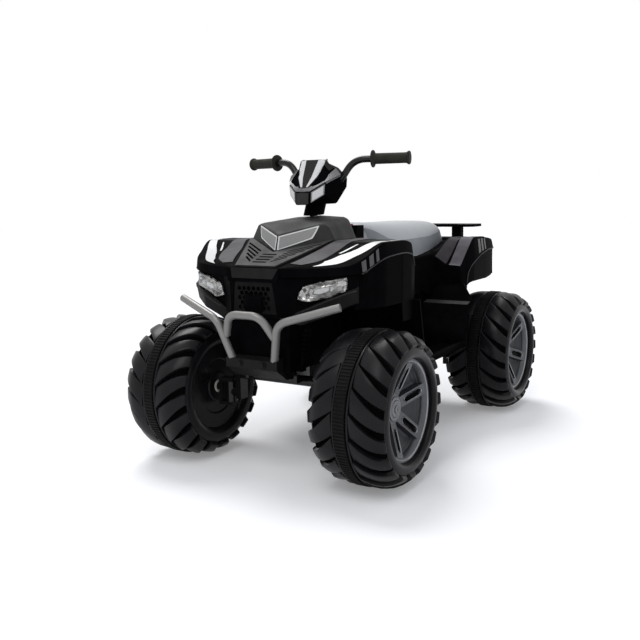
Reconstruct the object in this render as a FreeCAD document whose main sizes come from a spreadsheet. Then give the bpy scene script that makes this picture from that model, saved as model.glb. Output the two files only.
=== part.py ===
"""Battery-driven quad bike for a small child, as an assembly of separate pieces.

Frame: +Z up with the ground at z = 0, the front faces -Y, +X is the rider's left.
All sizes are in millimetres.
"""
import FreeCAD, Part
import math
import os
import re

import Sketcher

V = FreeCAD.Vector
DOC = FreeCAD.newDocument("kids_quad_bike")

# Driving dimensions
SIZES = {
    # Wheels: each is worked out about its own axle, outer side towards +X
    "wheel_radius": 155, "tyre_width": 164, "tyre_wall": 4, "tread_depth": 9, "lug_drop": 1,
    "wheelbase": 684, "track": 459, "lug_count": 20, "lug_sweep": 46, "lug_gap_inner": 4, "lug_gap_outer": 15,
    "band_width": 22, "band_rib_count": 140, "band_rib_depth": 2, "ring_gap": 2, "ring_width": 4,
    "rim_radius": 101.5, "rim_plane": 67, "dish_floor": 22, "inner_disc": 66,
    "sleeve_bore": 10, "sleeve_wall": 6, "cover_gap": 0.4, "cover_wall": 3,
    "spoke_count": 6, "spoke_width": 27, "slot_width": 13, "slot_inner": 38, "slot_outer": 82,
    "hub_radius": 28, "cap_radius": 21, "hub_plane": 38,
    "axle_radius": 6, "running_gap": 0.05, "side_gap": 0.3, "bush_flange": 1.5,
    "nut_radius": 9, "nut_height": 6.5, "washer_radius": 12, "washer_height": 1.5, "axle_tail": 2,
    # Steering
    "kingpin_x": 128, "kingpin_radius": 7, "eye_radius": 13, "eye_low": 125, "eye_high": 170,
    "ear_height": 7, "yoke_web_x": 144, "yoke_web": 8, "yoke_width": 26,
    "arm_length": 40, "arm_width": 16, "arm_pin_radius": 4, "tie_rod_low": 178, "tie_rod_height": 6,
    "tie_rod_width": 12, "open_pivot_gap": 0.35, "slot_gap": 0.6,
    "rake": 24, "column_radius": 8, "column_length": 442, "crank_height": 6, "crank_lift": 8,
    "neck_radius": 22, "neck_low": 338, "neck_clear": 5, "neck_high": 398,
    "bar_radius": 7.5, "bar_height": 590, "bar_rise": 54, "bar_foot": 46, "bar_knee": 82,
    "grip_start": 122, "grip_end": 199, "grip_sweep": 25, "grip_radius": 12.5, "grip_flange": 19,
    "horn_radius": 8, "horn_travel": 3,
    # Front beam
    "beam_radius": 11, "beam_height": 190, "eye_height": 147.5, "beam_bracket_x": 60, "beam_drop_x": 99, "beam_drop": 13,
    # Chassis tub
    "tub_wall": 4, "tub_half": 112, "tub_front_half": 78, "tub_low": 132, "tub_nose_low": 222, "tub_top": 330,
    "tub_nose_y": -418.7, "tub_step_y": -200, "tub_tail_y": 404,
    "board_half": 236, "board_floor": 203, "board_wall": 5, "board_front_y": -112, "board_back_y": 122,
    "board_top": 345, "board_ledge": 100, "board_front_top_y": -148, "board_back_top_y": 186,
    # Front cowl
    "hood_front_y": -421, "hood_rear_y": -281, "hood_front_z": 428, "hood_rear_z": 476, "hood_half": 58,
    "cowl_wall": 3.5, "fender_half": 224, "fender_top": 474, "lip_drop": 30, "arch_low": 345, "arch_inset": 6,
    "leg_front_y": -214, "leg_rear_y": -142, "leg_low": 305, "leg_toe_y": -158, "nose_lean": 9, "nose_drop": 21,
    "fascia_wall": 5, "lamp_gap": 0.4, "grille_back": 8,
    # Scoop
    "scoop_front_y": -345, "scoop_rear_y": -118, "scoop_half": 104, "scoop_top_half": 85,
    "scoop_top": 511, "scoop_ridge": 526, "scoop_wall": 4, "seat_gap": 0.3,
    # Rear cowl, seat and rack
    "rear_cowl_wall": 3.5, "rear_half": 210, "rear_top": 455, "skirt_low": 345, "deck_z": 452, "rear_tail_y": 408,
    "seat_front_y": -72, "seat_rear_y": 335, "seat_front_base": 442, "seat_mid_base": 418, "seat_rear_base": 446,
    "seat_top": 505, "seat_half": 110, "seat_wall": 5,
    "rack_half": 168, "rack_z": 480, "rack_thick": 7, "rack_front_y": 348, "rack_rear_y": 424,
    "rack_post_x": 117, "rack_post_width": 26, "rack_post_depth": 20, "rack_hole_radius": 2.75,
    "rack_hole_dx": 280, "rack_hole_dy": 56,
    # Bull bar
    "bumper_radius": 8, "bumper_bend": 22,
    # Drive
    "gear_module": 1.25, "gear_teeth": 56, "pinion_teeth": 14, "gear_width": 10, "gear_x": 118,
    "gearbox_x": 112, "gearbox_depth": 27, "gearbox_wall": 3, "motor_radius": 18, "motor_length": 58,
    "shaft_radius": 1.6,
    # Controls and electrics
    "pedal_x": -175, "pedal_y": 20, "pedal_z": 210, "pedal_length": 86, "pedal_width": 56, "pedal_tilt": 22,
    "pedal_pin": 3, "battery_length": 151, "battery_width": 65, "battery_height": 94,
    "panel_half": 62, "panel_depth": 40, "panel_top": 500, "button_radius": 10, "button_travel": 3,
    "rocker_length": 22, "rocker_width": 13,
}


def make_sheet():
    """Write the driving dimensions into a spreadsheet, one aliased cell each."""
    sheet = DOC.addObject("Spreadsheet::Sheet", "Sizes")
    for row, (name, number) in enumerate(SIZES.items(), start=1):
        sheet.set(f"A{row}", name)
        sheet.set(f"B{row}", str(number))
        sheet.setAlias(f"B{row}", name)
    DOC.recompute()
    return sheet


SHEET = make_sheet()
ALIAS = re.compile(r"\b(" + "|".join(sorted(SIZES, key=len, reverse=True)) + r")\b")


def bound(text):
    """Turn a formula in plain size names into one that reads the sheet."""
    return ALIAS.sub(r"Sizes.\1", str(text))


def value(text):
    """The number that a formula in size names stands for."""
    return float(SHEET.evalExpression(bound(text)))


# Places that several pieces share
FRONT_Y = "-wheelbase / 2"
REAR_Y = "wheelbase / 2"
ARM_Y = f"({FRONT_Y} + arm_length)"
TIE_Z = "(tie_rod_low + tie_rod_height / 2)"
RAKE = math.radians(value("rake"))
CRANK_FOOT = V(0, value(ARM_Y) - value("arm_length") * math.cos(RAKE),
               value(TIE_Z) + value("arm_length") * math.sin(RAKE))
COLUMN_PLACE = FreeCAD.Placement(CRANK_FOOT, FreeCAD.Rotation(V(1, 0, 0), -value("rake")))
TURN = {"X": FreeCAD.Rotation(V(0, 1, 0), 90), "Y": FreeCAD.Rotation(V(1, 0, 0), -90), "Z": FreeCAD.Rotation()}


def set_base(thing, base):
    """Bind an object's place to three formulas."""
    for axis, text in zip("xyz", base):
        thing.setExpression(f"Placement.Base.{axis}", bound(text))


def block(name, low, size):
    """A box from its low corner and its three lengths, all formulas."""
    thing = DOC.addObject("Part::Box", name)
    for side, text in zip(("Length", "Width", "Height"), size):
        thing.setExpression(side, bound(text))
    set_base(thing, low)
    return thing


def rod(name, radius, length, base, axis="Z"):
    """A cylinder that starts at base and runs along a positive axis."""
    thing = DOC.addObject("Part::Cylinder", name)
    thing.Placement = FreeCAD.Placement(V(), TURN[axis])
    thing.setExpression("Radius", bound(radius))
    thing.setExpression("Height", bound(length))
    set_base(thing, base)
    return thing


def join(label, pieces):
    """Fuse pieces into one solid."""
    thing = DOC.addObject("Part::MultiFuse", label)
    thing.Shapes = pieces
    thing.Refine = True
    return thing


def group(label, pieces):
    """Keep separate solids together under one name."""
    thing = DOC.addObject("Part::Compound", label)
    thing.Links = pieces
    return thing


def cut(label, base, tools):
    """Take tools away from a solid."""
    tool = tools[0] if len(tools) == 1 else join(label + "_tools", tools)
    thing = DOC.addObject("Part::Cut", label)
    thing.Base = base
    thing.Tool = tool
    return thing


def solid_feature(label, shape):
    """A piece whose shape is worked out from the sheet in code."""
    thing = DOC.addObject("Part::Feature", label)
    thing.Shape = shape
    return thing


def copy_at(label, master, place):
    """A further piece of the same moulding at another place."""
    thing = DOC.addObject("Part::Feature", label)
    shape = master.Shape.copy()
    shape.Placement = FreeCAD.Placement()
    thing.Shape = shape
    thing.Placement = place
    return thing


def body(label):
    """An empty body for sketched features."""
    return DOC.addObject("PartDesign::Body", label)


def sketch(owner, plane, loops, offset=None):
    """A sketch of closed outlines, each a list of points given as formulas."""
    flat = owner.newObject("Sketcher::SketchObject", owner.Name + "_outline")
    face = [item for item in owner.Origin.OriginFeatures if item.Role == plane][0]
    flat.AttachmentSupport = [(face, "")]
    flat.MapMode = "FlatFace"
    if offset:
        flat.setExpression("AttachmentOffset.Base.z", bound(offset))
    for loop in loops:
        outline(flat, loop)
    return flat


def outline(flat, loop):
    """Draw one closed run of lines and bind each corner to its formulas."""
    first = flat.GeometryCount
    spots = [(value(x), value(y)) for x, y in loop]
    count = len(loop)
    for here, there in zip(spots, spots[1:] + spots[:1]):
        flat.addGeometry(Part.LineSegment(V(*here, 0), V(*there, 0)))
    for step in range(count):
        flat.addConstraint(Sketcher.Constraint("Coincident", first + step, 2, first + (step + 1) % count, 1))
    for step, (formulas, numbers) in enumerate(zip(loop, spots)):
        for kind, axis, text, number in zip(("DistanceX", "DistanceY"), (-2, -1), formulas, numbers):
            if abs(number) < 1e-9:
                flat.addConstraint(Sketcher.Constraint("PointOnObject", first + step, 1, axis))
                continue
            index = flat.addConstraint(Sketcher.Constraint(kind, -1, 1, first + step, 1, number))
            flat.setExpression(f"Constraints[{index}]", bound(text))


def spun(owner, loops, kind="Revolution"):
    """Spin outlines drawn as (along the axle, radius) about the X axis."""
    flat = sketch(owner, "XY_Plane", loops)
    turned = owner.newObject("PartDesign::" + kind, owner.Name + "_" + kind.lower())
    turned.Profile = flat
    turned.ReferenceAxis = (flat, ["H_Axis"])
    turned.Angle = 360
    return turned


def around(owner, features, count):
    """Repeat features about the X axis."""
    pattern = owner.newObject("PartDesign::PolarPattern", owner.Name + "_pattern")
    pattern.Originals = features
    axis = [item for item in owner.Origin.OriginFeatures if item.Role == "X_Axis"][0]
    pattern.Axis = (axis, [""])
    pattern.Angle = 360
    pattern.setExpression("Occurrences", bound(count))
    owner.Tip = pattern
    return pattern


def padded(owner, plane, loops, length, offset=None, middle=False):
    """Pad outlines by a length, to one side or about the sketch plane."""
    flat = sketch(owner, plane, loops, offset)
    pad = owner.newObject("PartDesign::Pad", owner.Name + "_pad")
    pad.Profile = flat
    pad.setExpression("Length", bound(length))
    pad.Midplane = middle
    return pad


def pocketed(owner, plane, loops, offset, middle=True):
    """Cut outlines right through, both ways from the sketch plane."""
    flat = sketch(owner, plane, loops, offset)
    pocket = owner.newObject("PartDesign::Pocket", owner.Name + "_pocket")
    pocket.Profile = flat
    pocket.Type = "ThroughAll"
    pocket.Midplane = middle
    return pocket


def mirrored_loop(loop):
    """The same outline on the other side of the sketch's upright axis."""
    return [(f"-({x})", y) for x, y in loop]


def faceted(corners, faces):
    """A closed solid from named corners and flat faces."""
    flats = [Part.Face(Part.makePolygon([corners[name] for name in face + face[:1]])) for face in faces]
    shell = Part.Shell(flats)
    shell.sewShape()
    solid = Part.Solid(shell)
    if solid.Volume < 0:
        solid.reverse()
    return solid


def prism(points, push):
    """A flat outline pushed along a vector."""
    return Part.Face(Part.makePolygon(points + points[:1])).extrude(push)


def ruled(sections):
    """A solid through closed sections with the same number of corners."""
    return Part.makeLoft([Part.makePolygon(points + points[:1]) for points in sections], True, True)


def tube(points, radius, bend):
    """A round bar along straight runs with tangent bends."""
    edges = []
    start = points[0]
    for before, corner, after in zip(points, points[1:], points[2:]):
        back = (before - corner).normalize()
        ahead = (after - corner).normalize()
        half = back.getAngle(ahead) / 2
        reach = bend / math.tan(half)
        enter = corner + back * reach
        leave = corner + ahead * reach
        centre = corner + (back + ahead).normalize() * (bend / math.sin(half))
        middle = centre + (corner - centre).normalize() * bend
        edges.append(Part.LineSegment(start, enter).toShape())
        edges.append(Part.Arc(enter, middle, leave).toShape())
        start = leave
    edges.append(Part.LineSegment(start, points[-1]).toShape())
    ring = Part.Wire(Part.makeCircle(radius, points[0], points[1] - points[0]))
    return Part.Wire(edges).makePipeShell([ring], True, False)


# Wheels
WHEELS = {
    "front_left": (1, FRONT_Y), "front_right": (-1, FRONT_Y),
    "rear_left": (1, REAR_Y), "rear_right": (-1, REAR_Y),
}


def wheel_place(corner, turn=0.0):
    """Where a wheel stands; right-hand wheels are turned about so that +X stays the outer side."""
    side, axle_y = WHEELS[corner]
    facing = FreeCAD.Rotation(V(0, 0, 1), 0 if side > 0 else 180)
    spin = FreeCAD.Rotation(V(1, 0, 0), turn)
    centre = V(side * value("track / 2"), value(axle_y), value("wheel_radius"))
    return FreeCAD.Placement(centre, facing * spin)


def make_tyre(label):
    """Hollow blow-moulded wheel: carcass, slanted lugs, dish for the cover and a hub sleeve."""
    half = "(tyre_width / 2)"
    crown = "(wheel_radius - lug_drop - tread_depth)"
    ring_in = "(band_width / 2 + ring_gap)"
    ring_out = "(band_width / 2 + ring_gap + ring_width)"
    ring_top = "(wheel_radius - lug_drop * 3)"
    side = f"({crown} - 33)"
    left = [(f"-{ring_in}", crown), (f"-{ring_in}", ring_top), (f"-{ring_out}", ring_top), (f"-{ring_out}", crown),
            (f"-({half} - 50)", crown), (f"-({half} - 20)", f"{crown} - 9"), (f"-({half} - 2)", f"{crown} - 21"),
            (f"-{half}", side), (f"-({half} - 8)", "rim_radius - 5"), ("-inner_disc", "rim_radius - 9"),
            ("-inner_disc", "sleeve_bore")]
    right = [("dish_floor", "sleeve_bore"), ("dish_floor", "rim_radius"), (f"{half} - 14", "rim_radius"),
             (f"{half} - 7", "rim_radius + 1.5"), (half, side), (f"{half} - 2", f"{crown} - 21"),
             (f"{half} - 20", f"{crown} - 9"), (f"{half} - 50", crown), (ring_out, crown), (ring_out, ring_top),
             (ring_in, ring_top), (ring_in, crown)]
    tyre = body(label)
    spun(tyre, [left + right])
    pitch = "(6.2832 * wheel_radius / lug_count)"
    near = f"({pitch} / 2 - lug_gap_inner / 2)"
    far = f"({pitch} / 2 - lug_gap_outer / 2)"
    lug = [(f"{ring_out} + 1", f"-{near}"), (f"{ring_out} + 1", near),
           (f"{half} - 1.5", f"-lug_sweep + {far}"), (f"{half} - 1.5", f"-lug_sweep - {far}")]
    pad = padded(tyre, "XY_Plane", [lug, mirrored_loop(lug)], "lug_drop + tread_depth + 38", offset=side)
    around(tyre, [pad], "lug_count")
    lug_top = "(wheel_radius - lug_drop)"
    trim = [(f"{ring_out} + 0.5", lug_top), (f"{half} - 48", lug_top), (f"{half} - 30", f"{lug_top} - 4"),
            (f"{half} - 16", f"{lug_top} - 12"), (f"{half} - 6", f"{lug_top} - 23"), (f"{half} - 1", f"{crown} - 25"),
            (f"{half} + 30", f"{crown} - 25"), (f"{half} + 30", "wheel_radius + 40"),
            (f"{ring_out} + 0.5", "wheel_radius + 40")]
    spun(tyre, [trim, mirrored_loop(trim)], "Groove")
    wall = "tyre_wall"
    sleeve = "(sleeve_bore + sleeve_wall)"
    hollow = [(f"-(inner_disc - {wall})", sleeve), (f"-(inner_disc - {wall})", "rim_radius - 10"),
              (f"-({half} - 11)", "rim_radius - 4"), (f"-({half} - {wall})", side),
              (f"-({half} - 6)", f"{crown} - 24"), (f"-({half} - 22)", f"{crown} - 9 - {wall}"),
              (f"-({half} - 51)", f"{crown} - {wall}"), (f"{half} - 51", f"{crown} - {wall}"),
              (f"{half} - 22", f"{crown} - 9 - {wall}"), (f"{half} - 6", f"{crown} - 24"),
              (f"{half} - {wall}", side), (f"{half} - 9", f"rim_radius + {wall} + 1"),
              (f"{half} - 15", f"rim_radius + {wall}"), (f"dish_floor - {wall}", f"rim_radius + {wall}"),
              (f"dish_floor - {wall}", sleeve)]
    spun(tyre, [hollow], "Groove")
    return tyre


def make_band(label):
    """Ribbed rubber band round the middle of the wheel."""
    count = int(value("band_rib_count"))
    top = value("wheel_radius")
    low = value("wheel_radius - band_rib_depth")
    width = value("band_width")
    corners = []
    for rib in range(count):
        for share, radius in ((0.0, low), (0.15, top), (0.5, top), (0.65, low)):
            angle = 2 * math.pi * (rib + share) / count
            corners.append(V(-width / 2, radius * math.cos(angle), radius * math.sin(angle)))
    ribs = prism(corners, V(width, 0, 0))
    seat_radius = value("wheel_radius - lug_drop - tread_depth")
    bore = Part.makeCylinder(seat_radius, width, V(-width / 2, 0, 0), V(1, 0, 0))
    return solid_feature(label, ribs.cut(bore))


def make_cover(label):
    """Dished wheel cover with slotted spokes over sloping panels."""
    rim = "(rim_radius - cover_gap)"
    cover = body(label)
    wall = "cover_wall"
    spun(cover, [[("rim_plane", rim), ("rim_plane", f"{rim} - 5"), ("rim_plane - 7", f"{rim} - 9"),
                  ("rim_plane - 19", f"{rim} - 13"), ("dish_floor + cover_gap + 6", "hub_radius + 16"),
                  ("dish_floor + cover_gap + 6", "hub_radius"), ("hub_plane", "hub_radius"),
                  ("hub_plane", "cap_radius"), ("dish_floor + cover_gap + 2", "cap_radius"),
                  ("dish_floor + cover_gap + 2", "hub_radius + 17"), (f"rim_plane - 19 - {wall}", f"{rim} - 11"),
                  (f"rim_plane - 7 - {wall}", f"{rim} - 5"), (f"rim_plane - 7 - {wall}", rim)]])
    spoke = [("dish_floor + cover_gap + 4", "hub_radius - 1"), ("hub_plane - 1", "hub_radius - 1"),
             ("rim_plane - 4", f"{rim} - 9"), ("rim_plane - 7", f"{rim} - 8"), ("rim_plane - 20", f"{rim} - 12"),
             ("dish_floor + cover_gap + 4", "hub_radius + 16")]
    ridge = padded(cover, "XZ_Plane", [spoke], "spoke_width", middle=True)
    around(cover, [ridge], "spoke_count")
    bevel = "slot_width * 0.3"
    half = "slot_width / 2"
    slot = [(f"-{half}", f"slot_inner + {bevel}"), (f"-{half} + {bevel}", "slot_inner"),
            (f"{half} - {bevel}", "slot_inner"), (half, f"slot_inner + {bevel}"),
            (half, f"slot_outer - {bevel}"), (f"{half} - {bevel}", "slot_outer"),
            (f"-{half} + {bevel}", "slot_outer"), (f"-{half}", f"slot_outer - {bevel}")]
    opening = pocketed(cover, "YZ_Plane", [slot], "rim_plane / 2")
    around(cover, [opening], "spoke_count")
    return cover


def make_cap(label):
    """Stepped cap that plugs into the middle of the wheel cover."""
    cap = body(label)
    plug = "(cap_radius - side_gap)"
    spun(cap, [[("dish_floor + 4", f"{plug} - 3"), ("dish_floor + 4", plug), ("hub_plane", plug),
                ("hub_plane", "cap_radius + 3"), ("hub_plane + 2", "cap_radius + 2"), ("hub_plane + 2", "cap_radius - 5"),
                ("hub_plane + 3.5", "cap_radius - 6"), ("hub_plane + 3.5", "cap_radius - 12"),
                ("hub_plane + 5.5", "cap_radius - 13"), ("hub_plane + 5.5", "0"), ("hub_plane - 1", "0"),
                ("hub_plane - 1", f"{plug} - 3")]])
    return cap


def make_bushes(label):
    """Two flanged bushes, one in each end of the hub sleeve."""
    bore = "(axle_radius + running_gap)"
    inner = body(label + "_inner")
    spun(inner, [[("-inner_disc - bush_flange", bore), ("-inner_disc - bush_flange", "sleeve_bore + 4"),
                  ("-inner_disc", "sleeve_bore + 4"), ("-inner_disc", "sleeve_bore"),
                  ("-inner_disc + 20", "sleeve_bore"), ("-inner_disc + 20", bore)]])
    outer = body(label + "_outer")
    spun(outer, [[("dish_floor + bush_flange", bore), ("dish_floor + bush_flange", "sleeve_bore + 4"),
                  ("dish_floor", "sleeve_bore + 4"), ("dish_floor", "sleeve_bore"),
                  ("dish_floor - 20", "sleeve_bore"), ("dish_floor - 20", bore)]])
    return group(label, [inner, outer])


NUT_FACE = "(dish_floor + bush_flange + side_gap)"
AXLE_END = f"({NUT_FACE} + washer_height + nut_height + axle_tail)"


def make_nut(label):
    """Hexagon nut on its washer, in the wheel's own frame."""
    washer = Part.makeCylinder(value("washer_radius"), value("washer_height"), V(value(NUT_FACE), 0, 0), V(1, 0, 0))
    seat_x = value(NUT_FACE) + value("washer_height")
    corners = [V(seat_x, value("nut_radius") * math.cos(math.radians(60 * k)),
                 value("nut_radius") * math.sin(math.radians(60 * k))) for k in range(6)]
    hexagon = prism(corners, V(value("nut_height"), 0, 0))
    shaft = Part.makeCylinder(value("axle_radius"), 400, V(-200, 0, 0), V(1, 0, 0))
    return solid_feature(label, washer.fuse(hexagon).removeSplitter().cut(shaft))


def make_wheels():
    """Four wheels from one set of mouldings."""
    nodes = []
    tyre = make_tyre("tyre_master")
    band = make_band("band_master")
    cover = make_cover("cover_master")
    cap = make_cap("cap_master")
    bushes = make_bushes("bushes_master")
    nut = make_nut("nut_master")
    DOC.recompute()
    cover_turn = {"front_left": -14, "front_right": 20, "rear_left": 10, "rear_right": -5}
    for corner in WHEELS:
        place = wheel_place(corner)
        nodes.append(copy_at("tyre_" + corner, tyre, place))
        nodes.append(copy_at("traction_band_" + corner, band, place))
        nodes.append(copy_at("wheel_cover_" + corner, cover, wheel_place(corner, cover_turn[corner])))
        nodes.append(copy_at("hub_cap_" + corner, cap, place))
        if corner.startswith("front"):
            nodes.append(copy_at("wheel_bushes_" + corner, bushes, place))
            nodes.append(copy_at("axle_nut_" + corner, nut, place))
    return nodes, nut


# Steering
def make_knuckle(side_name, side):
    """Yoke round the beam's eye with kingpin, stub axle and steering arm; the right one is the mirror image."""
    name = "knuckle_" + side_name
    ear_z = ("eye_low - side_gap - ear_height", "eye_high + side_gap")
    web = block(name + "_web", ("yoke_web_x", f"{FRONT_Y} - yoke_width / 2", ear_z[0]),
                ("yoke_web", "yoke_width", "eye_high - eye_low + 2 * (ear_height + side_gap)"))
    ears = [block(name + "_ear", ("kingpin_x - 11", f"{FRONT_Y} - yoke_width / 2 + 1", low),
                  ("yoke_web_x - kingpin_x + 11 + yoke_web / 2", "yoke_width - 2", "ear_height")) for low in ear_z]
    pin = rod(name + "_kingpin", "kingpin_radius", "eye_high - eye_low + 2 * (ear_height + side_gap)",
              ("kingpin_x", FRONT_Y, ear_z[0]))
    collar = rod(name + "_collar", "axle_radius + 3",
                 "track / 2 - inner_disc - bush_flange - side_gap - yoke_web_x - yoke_web / 2",
                 ("yoke_web_x + yoke_web / 2", FRONT_Y, "wheel_radius"), "X")
    axle = rod(name + "_axle", "axle_radius", f"track / 2 + {AXLE_END} - yoke_web_x - yoke_web / 2",
               ("yoke_web_x + yoke_web / 2", FRONT_Y, "wheel_radius"), "X")
    arm = block(name + "_arm", ("kingpin_x - arm_width / 2", FRONT_Y, ear_z[1]),
                ("arm_width", "arm_length + arm_width / 2", "ear_height"))
    arm_pin = rod(name + "_arm_pin", "arm_pin_radius", "tie_rod_low + tie_rod_height + 3 - eye_high - side_gap",
                  ("kingpin_x", ARM_Y, ear_z[1]))
    left = join(name + "_forging", [web, *ears, pin, collar, axle, arm, arm_pin])
    DOC.recompute()
    shape = left.Shape.copy()
    if side < 0:
        shape = shape.mirror(V(), V(1, 0, 0))
    return solid_feature("steering_knuckle_" + side_name, shape)


def make_tie_rod():
    """Flat bar across both steering arms, with a slot for the crank pin in its middle."""
    bar = block("tie_bar", ("-kingpin_x - 9", f"{ARM_Y} - tie_rod_width / 2", "tie_rod_low"),
                ("2 * kingpin_x + 18", "tie_rod_width", "tie_rod_height"))
    pad = block("tie_pad", ("-17", f"{ARM_Y} - 13", "tie_rod_low"), ("34", "26", "tie_rod_height"))
    left = rod("tie_hole_left", "arm_pin_radius + running_gap", "40", ("kingpin_x", ARM_Y, "tie_rod_low - 20"))
    right = rod("tie_hole_right", "arm_pin_radius + open_pivot_gap", "40", ("-kingpin_x", ARM_Y, "tie_rod_low - 20"))
    slot = block("tie_slot", ("-arm_pin_radius - slot_gap", f"{ARM_Y} - arm_pin_radius - 4", "tie_rod_low - 20"),
                 ("2 * (arm_pin_radius + slot_gap)", "2 * (arm_pin_radius + 4)", "40"))
    return cut("tie_rod", join("tie_blank", [bar, pad]), [left, right, slot])


def bar_points():
    """Corners of the handlebar tube from the right grip end to the left."""
    foot = V(value("bar_foot"), bar_centre().y, value("bar_height"))
    knee = V(value("bar_knee"), foot.y + 8, value("bar_height + bar_rise"))
    end = V(value("grip_end"), knee.y + value("grip_sweep"), knee.z)
    left = [foot, knee, end]
    right = [V(-spot.x, spot.y, spot.z) for spot in left]
    return right[::-1] + left


def bar_centre():
    """Where the raked column meets the middle of the handlebar."""
    return CRANK_FOOT + V(0, math.tan(RAKE), 1) * (value("bar_height") - CRANK_FOOT.z)


def make_column():
    """Raked steel column with a crank at its foot and a clamp for the handlebar at its top."""
    shaft = Part.makeCylinder(value("column_radius"), value("column_length - crank_lift"), V(0, 0, value("crank_lift")))
    plate = Part.makeBox(18, value("arm_length") + 18, value("crank_height"), V(-9, -10, value("crank_lift")))
    pin = Part.makeCylinder(value("arm_pin_radius"), value("crank_lift") + 9, V(0, value("arm_length"), -8))
    shape = shaft.fuse([plate, pin])
    shape.Placement = COLUMN_PLACE
    middle = bar_centre()
    reach = value("bar_radius") + 4
    clamp = Part.makeBox(52, 2 * reach, 2 * reach, middle - V(26, reach, reach))
    bore = Part.makeCylinder(value("bar_radius + running_gap"), 80, middle - V(40, 0, 0), V(1, 0, 0))
    return solid_feature("steering_column", shape.fuse(clamp).removeSplitter().cut(bore))


def make_handlebar():
    """Bent tube with its two grips."""
    points = bar_points()
    bar = solid_feature("handlebar", tube(points, value("bar_radius"), 24))
    end = points[-1]
    run = (end - points[-2]).normalize()
    start = points[-2] + run * ((value("grip_start") - points[-2].x) / run.x)
    length = (end - start).Length
    sleeve = Part.makeCylinder(value("grip_radius"), length + 4, start, run)
    flange = Part.makeCylinder(value("grip_flange"), 5, start, run)
    knob = Part.makeCylinder(value("grip_radius + 2.5"), 6, end - run * 2, run)
    bore = Part.makeCylinder(value("bar_radius + running_gap"), length + 0.3, start - run * 0.2, run)
    left = sleeve.fuse([flange, knob]).removeSplitter().cut(bore)
    right = left.mirror(V(), V(1, 0, 0))
    return [bar, solid_feature("handlebar_grips", Part.makeCompound([left, right]))]


def pod_corners(shrink):
    """Corners of the instrument pod, drawn towards its middle by a share."""
    half = {"nose_top": (17, -237, 577), "nose_low": (16, -241, 548), "lamp_top": (46, -217, 597),
            "lamp_low": (42, -214, 566), "peak": (24, -190, 644), "cheek": (63, -148, 624),
            "cheek_low": (60, -140, 590), "chin": (34, -148, 550), "back_top": (40, -130, 640)}
    middle = V(0, -180, 592)
    corners = {}
    for name, (x, y, z) in half.items():
        for side, sign in (("_l", 1), ("_r", -1)):
            corners[name + side] = middle + (V(sign * x, y, z) - middle) * shrink
    return corners


POD_HALF_FACES = [
    ["nose_top", "lamp_top", "peak"], ["nose_top", "nose_low", "lamp_low"], ["nose_top", "lamp_low", "lamp_top"],
    ["lamp_top", "cheek", "peak"], ["lamp_top", "lamp_low", "cheek_low"], ["lamp_top", "cheek_low", "cheek"],
    ["nose_low", "chin", "lamp_low"], ["lamp_low", "chin", "cheek_low"], ["peak", "cheek", "back_top"],
    ["cheek", "cheek_low", "back_top"], ["cheek_low", "chin", "back_top"],
]
POD_CROSS_FACES = [
    ["nose_top_l", "peak_l", "peak_r"], ["nose_top_l", "peak_r", "nose_top_r"],
    ["nose_top_l", "nose_top_r", "nose_low_r"], ["nose_top_l", "nose_low_r", "nose_low_l"],
    ["peak_l", "back_top_l", "back_top_r"], ["peak_l", "back_top_r", "peak_r"],
    ["nose_low_l", "nose_low_r", "chin_r"], ["nose_low_l", "chin_r", "chin_l"],
    ["back_top_l", "chin_l", "chin_r"], ["back_top_l", "chin_r", "back_top_r"],
]


def pod_solid(shrink):
    """The pod's closed outer form at a share of its size."""
    faces = [[name + side for name in face] for face in POD_HALF_FACES for side in ("_l", "_r")]
    return faceted(pod_corners(shrink), faces + POD_CROSS_FACES)


def horn_place():
    """Middle of the horn button on the face of the pod towards the rider, and the way it stands out."""
    corners = pod_corners(1.0)
    low = (corners["chin_l"] + corners["chin_r"]) * 0.5
    high = (corners["back_top_l"] + corners["back_top_r"]) * 0.5
    up = (high - low).normalize()
    return low + (high - low) * 0.72, V(0, up.z, -up.y)


def make_pod():
    """Hollow instrument pod with lamps, on a neck round the column, and the horn button in its back."""
    shell = pod_solid(1.0).cut(pod_solid(0.9))
    bar_way = tube(bar_points(), value("bar_radius") + 1.5, 24)
    column_way = Part.makeCylinder(value("column_radius") + 1, value("column_length"))
    column_way.Placement = COLUMN_PLACE
    corners = pod_corners(1.0)
    lamps = []
    for side in ("_l", "_r"):
        spots = [corners["nose_top" + side], corners["lamp_top" + side], corners["lamp_low" + side]]
        centre = (spots[0] + spots[1] + spots[2]) * (1 / 3)
        inset = [centre + (spot - centre) * 0.72 for spot in spots]
        normal = (spots[1] - spots[0]).cross(spots[2] - spots[0]).normalize()
        out = normal if normal.y < 0 else normal * -1
        lamps.append(prism(inset, out * 2))
    spot, out = horn_place()
    horn_hole = Part.makeCylinder(value("horn_radius + side_gap"), 40, spot - out * 30, out)
    pod = solid_feature("instrument_pod", shell.cut([bar_way, column_way, horn_hole]))
    lamp_node = solid_feature("pod_lamps", Part.makeCompound(lamps))
    neck = Part.makeCylinder(value("neck_radius"), value("neck_high - neck_low"), V(0, 0, value("neck_low")))
    neck = neck.cut(Part.makeCylinder(value("column_radius + running_gap"), value("column_length")))
    neck.Placement = COLUMN_PLACE
    roof = [scoop_corners()[name] + V(0, 0, value("neck_clear")) for name in ("c1", "c3")]
    along = roof[1] - roof[0]
    below = [roof[0] - along, roof[1] + along, roof[1] + along - V(0, 0, 100), roof[0] - along - V(0, 0, 100)]
    under = prism([spot - V(60, 0, 0) for spot in below], V(120, 0, 0))
    neck_node = solid_feature("steering_neck", neck.cut([pod_solid(1.0), under]))
    travel = value("horn_travel")
    button = Part.makeCylinder(value("horn_radius"), 10 + travel, spot - out * 10, out)
    return [pod, lamp_node, neck_node, solid_feature("horn_button", button)]


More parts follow.
